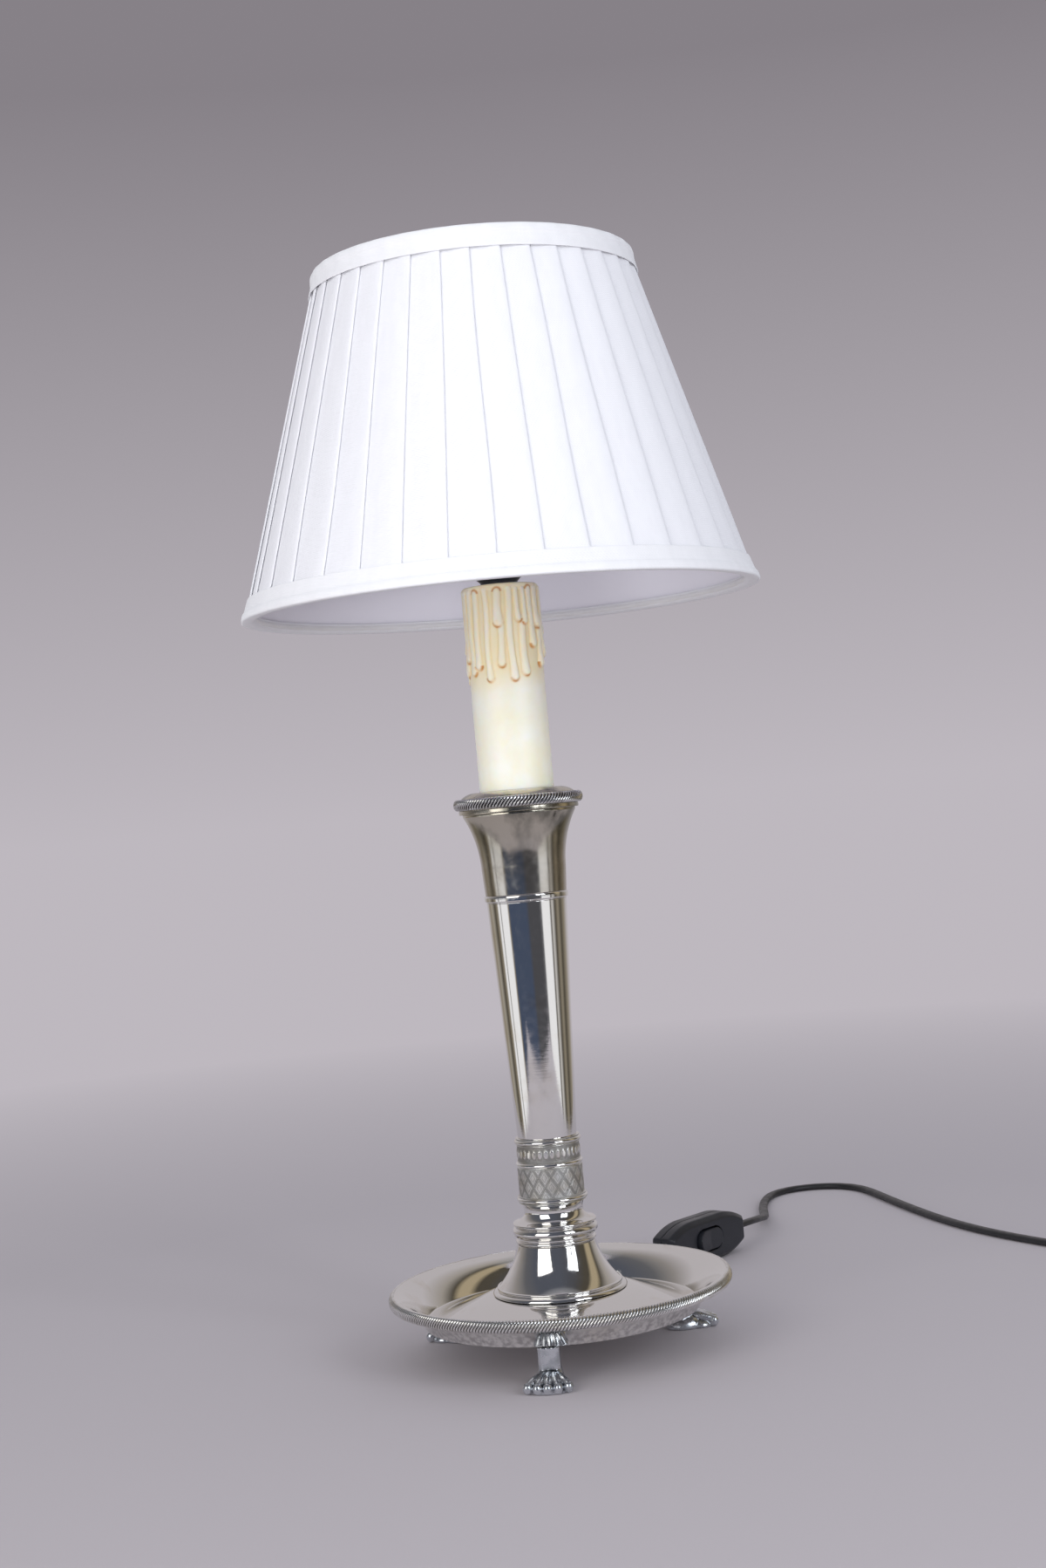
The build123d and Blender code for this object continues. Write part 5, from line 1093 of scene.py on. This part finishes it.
for azimuth, top, bottom, width, proud in DRIPS:
    lean = LEAN * np.sin((level - bottom) / LEAN_LENGTH + azimuth)
    turn = angles - math.radians(azimuth - 90)
    sideways = SLEEVE_RADIUS * (np.remainder(turn + math.pi, 2 * math.pi) - math.pi) + lean
    half = width / 2 * (0.80 + 0.20 * np.exp(-((level - bottom - width / 2) / 5.0) ** 2))
    above = np.maximum(level - top, 0)
    below = np.maximum(bottom + width / 2 - level, 0)
    away = np.hypot(sideways, above + below) / half
    fullness = 0.55 + 0.45 * np.exp(-((level - bottom - width * 0.4) / (width * 0.9)) ** 2)
    wax = np.maximum(wax, DRIP_RELIEF * proud * fullness * np.sqrt(np.clip(1 - away ** 2, 0, 1)))
    gap = np.abs((away - 1) * half)
    patchy = 0.55 + 0.45 * np.sin(5.3 * azimuth + sideways * 1.1)
    lobe = np.where(below > 0, patchy * np.exp(-(gap / SEAM_WIDTH) ** 2), 0.0)
    hook = np.where((above > 0) & (azimuth in HOOKED), 0.9 * np.exp(-(gap / HOOK_WIDTH) ** 2), 0.0)
    seam = np.maximum(seam, np.maximum(lobe, hook))
    glow = np.maximum(glow, np.where(above > 0, 0.0, np.exp(-(gap / GLOW_WIDTH) ** 2)))
dripped = np.clip((level - TINT_BASE) / TINT_FADE, 0, 1)
between_drips = dripped * np.clip(1 - wax / 0.6, 0, 1)
ochre = np.clip(0.14 * dripped + 0.30 * glow + 0.32 * between_drips, 0, 1)
print(len(DRIPS), "drips, up to", round(wax.max(), 2), "mm proud")

# %% Candle sleeve: mesh and finish
swollen_lip = 0.35 * np.exp(-((level - sleeve_top + 1.4) / 1.1) ** 2)
rounded_lip = 0.5 * np.clip(1 - (sleeve_top - level) / 0.5, 0, 1) ** 2
sleeve_radius = SLEEVE_RADIUS - SLEEVE_INSET + wax + (swollen_lip - rounded_lip)
under_top = sleeve_top - SLEEVE_TOP_WALL
inside = np.array([(ROD_HOLE, sleeve_top), (ROD_HOLE, under_top), (SLEEVE_BORE, under_top),
                   (SLEEVE_BORE, sleeve_base)])
bore = np.zeros((len(inside), SLEEVE_AROUND))
wax_candle = turned_piece("wax_candle", np.vstack([sleeve_radius, bore + inside[:, :1]]), angles,
                          np.vstack([level, inside[:, 1:]]), sharp=60)
for name, values in (("amber", seam), ("ochre", ochre)):
    store(wax_candle, name, np.vstack([values, bore]))

tree, bsdf = new_finish("ivory_resin", (0.86, 0.81, 0.70), 0.34, Subsurface_Weight=0.35,
                        Subsurface_Scale=0.004, Subsurface_Radius=(1.0, 0.62, 0.32))
cloudy = mixed(tree, span(tree, noise(tree, 60.0, 4.0), 0.35, 0.7), (0.95, 0.92, 0.81), (0.93, 0.86, 0.66))
tinted = mixed(tree, attribute(tree, "ochre"), cloudy, (0.90, 0.69, 0.33))
feed(tree, bsdf, "Base Color", mixed(tree, attribute(tree, "amber"), tinted, (0.60, 0.26, 0.05)))
feed(tree, bsdf, "Roughness", span(tree, noise(tree, 220.0, 3.0), 0.3, 0.7, 0.28, 0.44))
bumped(tree, bsdf, noise(tree, 260.0, 4.0, (1, 1, 0.35)), 0.0002, 0.5)
dress(wax_candle, "lamp", "ivory_resin", "candle_sleeve")
print("candle up to", round(sleeve_top, 1), "mm")

# %% [markdown]
# The shade's cover is white cotton in knife pleats, sewn to tape at both ends. A cloth simulation would
# soften the knife edges, so the folded cloth is drawn as one open sheet: each pleat runs out to its fold,
# turns under, and comes back out beneath the next. A fold's points are shares of the pleat's width and
# depths under its crest. A seeded drift in each fold keeps the hand of the maker, and one level of
# subdivision rounds the folds as pressed cotton is.

# %% Pleated cover
PLEATS, PLEAT_ROWS = 36, 44
PLEAT_FOLD = (
    (0.03, 1.38), (0.22, 1.16), (0.48, 0.64), (0.74, 0.18), (0.92, 0.0), (0.99, 0.26), (1.005, 0.72),
    (0.985, 1.06), (0.88, 1.14), (0.86, 1.24), (0.92, 1.34))
FACE_POINTS = 4
PLEAT_DRIFT, PLEAT_SWAY, PLEAT_BILLOW = 0.035, 0.02, 0.25
SHADE_INSET, SHADE_HEM, SHADE_TOP_RADIUS = 1.0, 1.0, 77.2
shade_base, _, shade_bottom_radius = heights("shade_bottom_band")
shade_top = heights("shade_top_band")[1]
cloth_height = shade_top - shade_base - 2 * SHADE_HEM
draw = np.random.default_rng(7)


def shade_radius(height, inset=0.0):
    """Radius of the shade's cone at a height, in from its outermost face."""
    share = (height - shade_base) / (shade_top - shade_base)
    return shade_bottom_radius + (SHADE_TOP_RADIUS - shade_bottom_radius) * share - inset


drift = draw.normal(0, 1, (PLEATS, 3))
cover_points = []
for row in range(PLEAT_ROWS):
    share = row / (PLEAT_ROWS - 1)
    height = shade_base + SHADE_HEM + share * cloth_height
    crest = shade_radius(height, SHADE_INSET)
    held = math.sin(math.pi * share)
    sway = PLEAT_SWAY * math.sin(2 * math.pi * share)
    for pleat in range(PLEATS):
        shift = PLEAT_DRIFT * drift[pleat, 0] * held + sway * drift[pleat, 1]
        billow = PLEAT_BILLOW * held * (1 + 0.5 * drift[pleat, 2])
        for point, (along, depth) in enumerate(PLEAT_FOLD):
            turn = 2 * math.pi * (pleat + along + shift) / PLEATS
            puff = billow * math.sin(math.pi * along) if point < FACE_POINTS else 0.0
            radius = crest - depth + puff
            cover_points.append((radius * math.cos(turn) * MM, radius * math.sin(turn) * MM, height * MM))
around = PLEATS * len(PLEAT_FOLD)
pleated_cover = new_piece("pleated_cover", cover_points, tube_faces(PLEAT_ROWS, around, "open"), sharp=180)
rounded = pleated_cover.modifiers.new("pressed_folds", "SUBSURF")
rounded.levels = rounded.render_levels = 1


def cotton(slot, colour, shadow, weave):
    """White cotton: a fine weave in bump, faint slubs in colour, and a soft sheen."""
    tree, bsdf = new_finish(slot, colour, 0.85, Sheen_Weight=0.12, Specular_IOR_Level=0.2)
    slubs = span(tree, noise(tree, 240.0, 4.0, (1, 1, 0.12)), 0.35, 0.7)
    feed(tree, bsdf, "Base Color", mixed(tree, slubs, colour, shadow))
    place = shader_node(tree, "TexCoord", {}).outputs["Object"]
    threads = {"Vector": place, "Scale": weave, "Distortion": 1.2}
    warp = shader_node(tree, "TexWave", threads, bands_direction="Z").outputs["Fac"]
    weft = shader_node(tree, "TexWave", threads, bands_direction="DIAGONAL").outputs["Fac"]
    bumped(tree, bsdf, maths(tree, "ADD", warp, weft), 0.00006, 0.5)
    bumped(tree, bsdf, noise(tree, 60.0, 4.0), 0.0004, 0.25)


cotton("pleated_cotton", (0.855, 0.860, 0.885), (0.83, 0.835, 0.86), 420.0)
cotton("shade_tape", (0.855, 0.860, 0.875), (0.83, 0.835, 0.85), 300.0)
dress(pleated_cover, "shade", "pleated_cotton", "shade_cover")

# %% [markdown]
# Folded tape binds both edges of the shade over the wire rings. It lies flat on the pleats and swells over
# the wire, so it is a turned strip with a rolled edge, and a small wander in its radius takes away the look
# of a moulding. A corner of the strip says how far from the edge the cone's radius is read, how far in from
# it and how far from the edge the corner lies, and its ease.

# %% Taped edges
TAPE_DEPTH, TAPE_ROLL = 11.0, 3.4
TAPE = (
    (TAPE_DEPTH, 0.85, TAPE_DEPTH, 0.2), (TAPE_DEPTH, 0.25, TAPE_DEPTH, 0.4), (5.6, 0.1, 5.6, 1.2),
    (4.6, 0.0, 4.6, 0.6), (TAPE_ROLL, -0.75, TAPE_ROLL, 1.2), (0, -0.7, 0.2, 1.6), (0, 1.2, -0.3, 1.4),
    (0, 5.6, 0, 1.6), (0, 7.2, 1.6, 1.2), (0, 6.8, 4.6, 0.4), (0, 6.4, 4.6, 0.2), (0, 6.6, 1.8, 1.0),
    (0, 5.4, 0.7, 1.2), (0, 1.4, 0.6, 1.0), (TAPE_ROLL, 0.85, TAPE_ROLL, 0.6))


def tape_wander(angles, _, height):
    """A fraction of a millimetre of unevenness round the tape."""
    return 0.10 * np.sin(PLEATS * angles + 0.4 * height) + 0.08 * np.sin(5 * angles + 1.0)


def tape(name, edge, inward):
    """Strip of tape from a shade edge, inward being +1 upwards from the bottom and -1 down from the top."""
    profile = [(shade_radius(edge + inward * read, inset), edge + inward * along, ease)
               for read, inset, along, ease in TAPE]
    return lathe(name, profile[::inward], 360, tape_wander)


bottom_tape = dress(tape("bottom_tape", shade_base, 1), "shade", "shade_tape", "shade_bottom_band")
top_tape = dress(tape("top_tape", shade_top, -1), "shade", "shade_tape", "shade_top_band")
print("tape", TAPE_DEPTH, "mm deep")

# %% [markdown]
# Inside the shade, the lampholder, the clamping ring and the bulb are seen from below and from above. The
# ring has a knurled edge for the fingers, and the bulb's cap a rolled thread: both are lathe profiles with a
# relief that follows the angle. The glass is a thin closed wall, so light bends twice through it as in a
# real bulb.

# %% Clamping ring and lampholder
KNURLS, KNURL_DEPTH, KNURL_FACE, KNURL_EDGE = 48, 0.55, 20.4, 0.5
CLAMP_BORE, CLAMP_LIP = 14.05, 16.4
HOLDER_BORE, HOLDER_NECK, HOLDER_RADIUS, HOLDER_GROOVE = 5.05, 9.0, 14.0, 13.6
HOLDER_MOUTH, HOLDER_INSIDE = 12.4, 10.4


def knurl(angles, radius, _):
    """Vertical finger grooves on the outermost face of the clamping ring."""
    face = np.clip((radius - KNURL_FACE) / KNURL_EDGE, 0, 1)
    return -KNURL_DEPTH * face * (0.5 + 0.5 * np.cos(KNURLS * angles)) ** 2


ring_base, ring_end, clamp_radius = heights("shade_ring")
clamp_ring = lathe("clamp_ring", [
    (CLAMP_BORE, ring_base, 0.3), (clamp_radius, ring_base, 0.5), (clamp_radius, ring_end - 1.2, 0.4),
    (clamp_radius - 1.6, ring_end, 0.6), (CLAMP_LIP, ring_end, 0.5), (CLAMP_BORE, ring_end - 1.0, 0.3)],
    384, knurl)
dress(clamp_ring, "shade_ring", "black_plastic", "shade_ring")

cap_base, cap_top, _ = heights("holder_cap")
holder_cup = lathe("holder_cup", [
    (HOLDER_BORE, cap_base, 0.1), (HOLDER_NECK, cap_base, 0.3), (HOLDER_NECK, cap_base + 2, 0.4),
    (HOLDER_RADIUS, cap_base + 7, 1.2), (HOLDER_RADIUS, cap_top - 1.6, 0.2),
    (HOLDER_GROOVE, cap_top - 1.5, 0.1), (HOLDER_GROOVE, cap_top - 0.9, 0.1),
    (HOLDER_RADIUS, cap_top - 0.8, 0.2), (HOLDER_RADIUS, cap_top, 0.2), (HOLDER_MOUTH, cap_top, 0.2),
    (HOLDER_MOUTH, cap_top - 5, 0.1), (HOLDER_INSIDE, cap_top - 5, 0.2), (HOLDER_INSIDE, cap_base + 9, 0.5),
    (HOLDER_BORE, cap_base + 9, 0.2)], 128)
dress(holder_cup, "lamp", "black_plastic", "holder_cap")
print(KNURLS, "finger grooves")

# %% Bulb
THREAD_PITCH, THREAD_DEPTH, THREAD_ROWS = 2.822, 0.30, 60
CAP_RADIUS, CAP_FACE, CAP_FLARE, CAP_INSIDE, CAP_FLOOR = 6.9, 6.85, 8.6, 6.0, 1.4
GLASS_WALL, GLASS_NECK, GLASS_BELLY, BELLY_HEIGHT = 0.8, 8.6, 17.5, 25
NECK_BOW, TIP_BOW = 1.5, 4.2
cap_low, cap_high, _ = heights("bulb_cap")
thread_low, thread_high = cap_low + 1.0, cap_high - 3.2
wall_low = cap_low + 0.9


def rolled_thread(angles, radius, height):
    """Round thread, one turn of rise for each turn of angle, on the straight part of the cap."""
    face = np.where((radius > CAP_FACE) & (height < thread_high) & (height > thread_low), 1.0, 0.0)
    return -THREAD_DEPTH * face * (1 - np.cos(2 * math.pi * height / THREAD_PITCH - angles))


cap_wall = [(CAP_RADIUS, wall_low + (thread_high - wall_low) * row / THREAD_ROWS, 0)
            for row in range(THREAD_ROWS + 1)]
screw_cap = lathe("screw_cap", [
    (0, cap_low, 0), (6.2, cap_low, 0.3), *cap_wall, (CAP_RADIUS, cap_high - 2.4, 0.5),
    (CAP_FLARE, cap_high, 0.3), (CAP_INSIDE, cap_high, 0.1), (CAP_INSIDE, cap_low + CAP_FLOOR, 0.2),
    (0, cap_low + CAP_FLOOR, 0)], 96, rolled_thread)
tree, bsdf = new_finish("bulb_cap_metal", (0.74, 0.74, 0.75), 0.28, Metallic=1.0)
feed(tree, bsdf, "Roughness", span(tree, noise(tree, 150.0, 4.0), 0.3, 0.7, 0.2, 0.4))
dress(screw_cap, "bulb", "bulb_cap_metal", "bulb_cap")

glass_base, glass_top, _ = heights("bulb_glass")
belly = glass_base + BELLY_HEIGHT
neck, tip = (GLASS_NECK, glass_base), (1.6, glass_top - 0.6)
inner_neck, inner_tip = (GLASS_NECK - GLASS_WALL, glass_base), (1.2, glass_top - 1.4)
inner_belly = GLASS_BELLY - GLASS_WALL
candle_glass = lathe("candle_glass", [
    (*inner_neck, 0.1), (*neck, 0.1), *arc(neck, (GLASS_BELLY, belly), NECK_BOW, 16),
    (GLASS_BELLY, belly, 2.5), *arc((GLASS_BELLY, belly), tip, -TIP_BOW, 34), (*tip, 0.8),
    (0, glass_top, 0),
    (0, glass_top - GLASS_WALL, 0), (*inner_tip, 0.5), *arc(inner_tip, (inner_belly, belly), TIP_BOW, 34),
    (inner_belly, belly, 2.5), *arc((inner_belly, belly), inner_neck, -NECK_BOW, 16)], 128)
tree, bsdf = new_finish("clear_glass", (0.97, 0.98, 0.98), 0.02, Transmission_Weight=1.0, IOR=1.46)
feed(tree, bsdf, "Roughness", span(tree, noise(tree, 120.0), 0.3, 0.8, 0.0, 0.04))
dress(candle_glass, "bulb", "clear_glass", "bulb_glass")
print("bulb up to", round(glass_top, 1), "mm")

# %% [markdown]
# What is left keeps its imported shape: the lining, the wires, the rod with its nuts, and the works of the
# holder and the switch. They still get finishes of their own, each with the grain or wear that its material
# shows, and smooth shading by angle.

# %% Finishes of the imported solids
SHARP_EDGE = math.radians(35)
clouded("zinc_steel", (0.60, 0.60, 0.61), 0.36, ((0.64, 0.64, 0.66), (0.52, 0.51, 0.48)), 130.0,
        (0.28, 0.46), 220.0, detail=4.0, Metallic=1.0)
clouded("white_insulator", (0.82, 0.81, 0.77), 0.25, ((0.84, 0.83, 0.79), (0.78, 0.76, 0.70)), 70.0,
        (0.18, 0.34), 90.0)
clouded("contact_brass", (0.72, 0.55, 0.28), 0.3, ((0.74, 0.57, 0.30), (0.55, 0.38, 0.18)), 110.0,
        (0.22, 0.42), 170.0, detail=4.0, Metallic=1.0)
clouded("wire_insulation", (0.30, 0.16, 0.09), 0.45, ((0.32, 0.17, 0.10), (0.24, 0.12, 0.07)), 120.0,
        (0.38, 0.52), 200.0)
clouded("filament_phosphor", (0.80, 0.60, 0.16), 0.6, ((0.84, 0.64, 0.18), (0.74, 0.52, 0.12)), 800.0)
tree, bsdf = clouded("shade_lining_film", (0.89, 0.88, 0.94), 0.5,
                     ((0.90, 0.89, 0.95), (0.86, 0.85, 0.91)), 30.0, detail=4.0)
bumped(tree, bsdf, noise(tree, 900.0), 0.00003)
tree, bsdf = clouded("white_wire", (0.80, 0.80, 0.80), 0.35,
                     ((0.82, 0.82, 0.82), (0.74, 0.74, 0.73)), 80.0, detail=4.0, Coat_Weight=0.2)
bumped(tree, bsdf, noise(tree, 500.0), 0.00008)

for row in frame["record"]["subparts"]:
    solid = frame["nodes"][row["node"]].data
    solid.materials.clear()
    solid.materials.append(finish[row["material_slot"]])
    solid.shade_smooth()
    solid.set_sharp_from_angle(angle=SHARP_EDGE)
print(len(finish), "finishes")
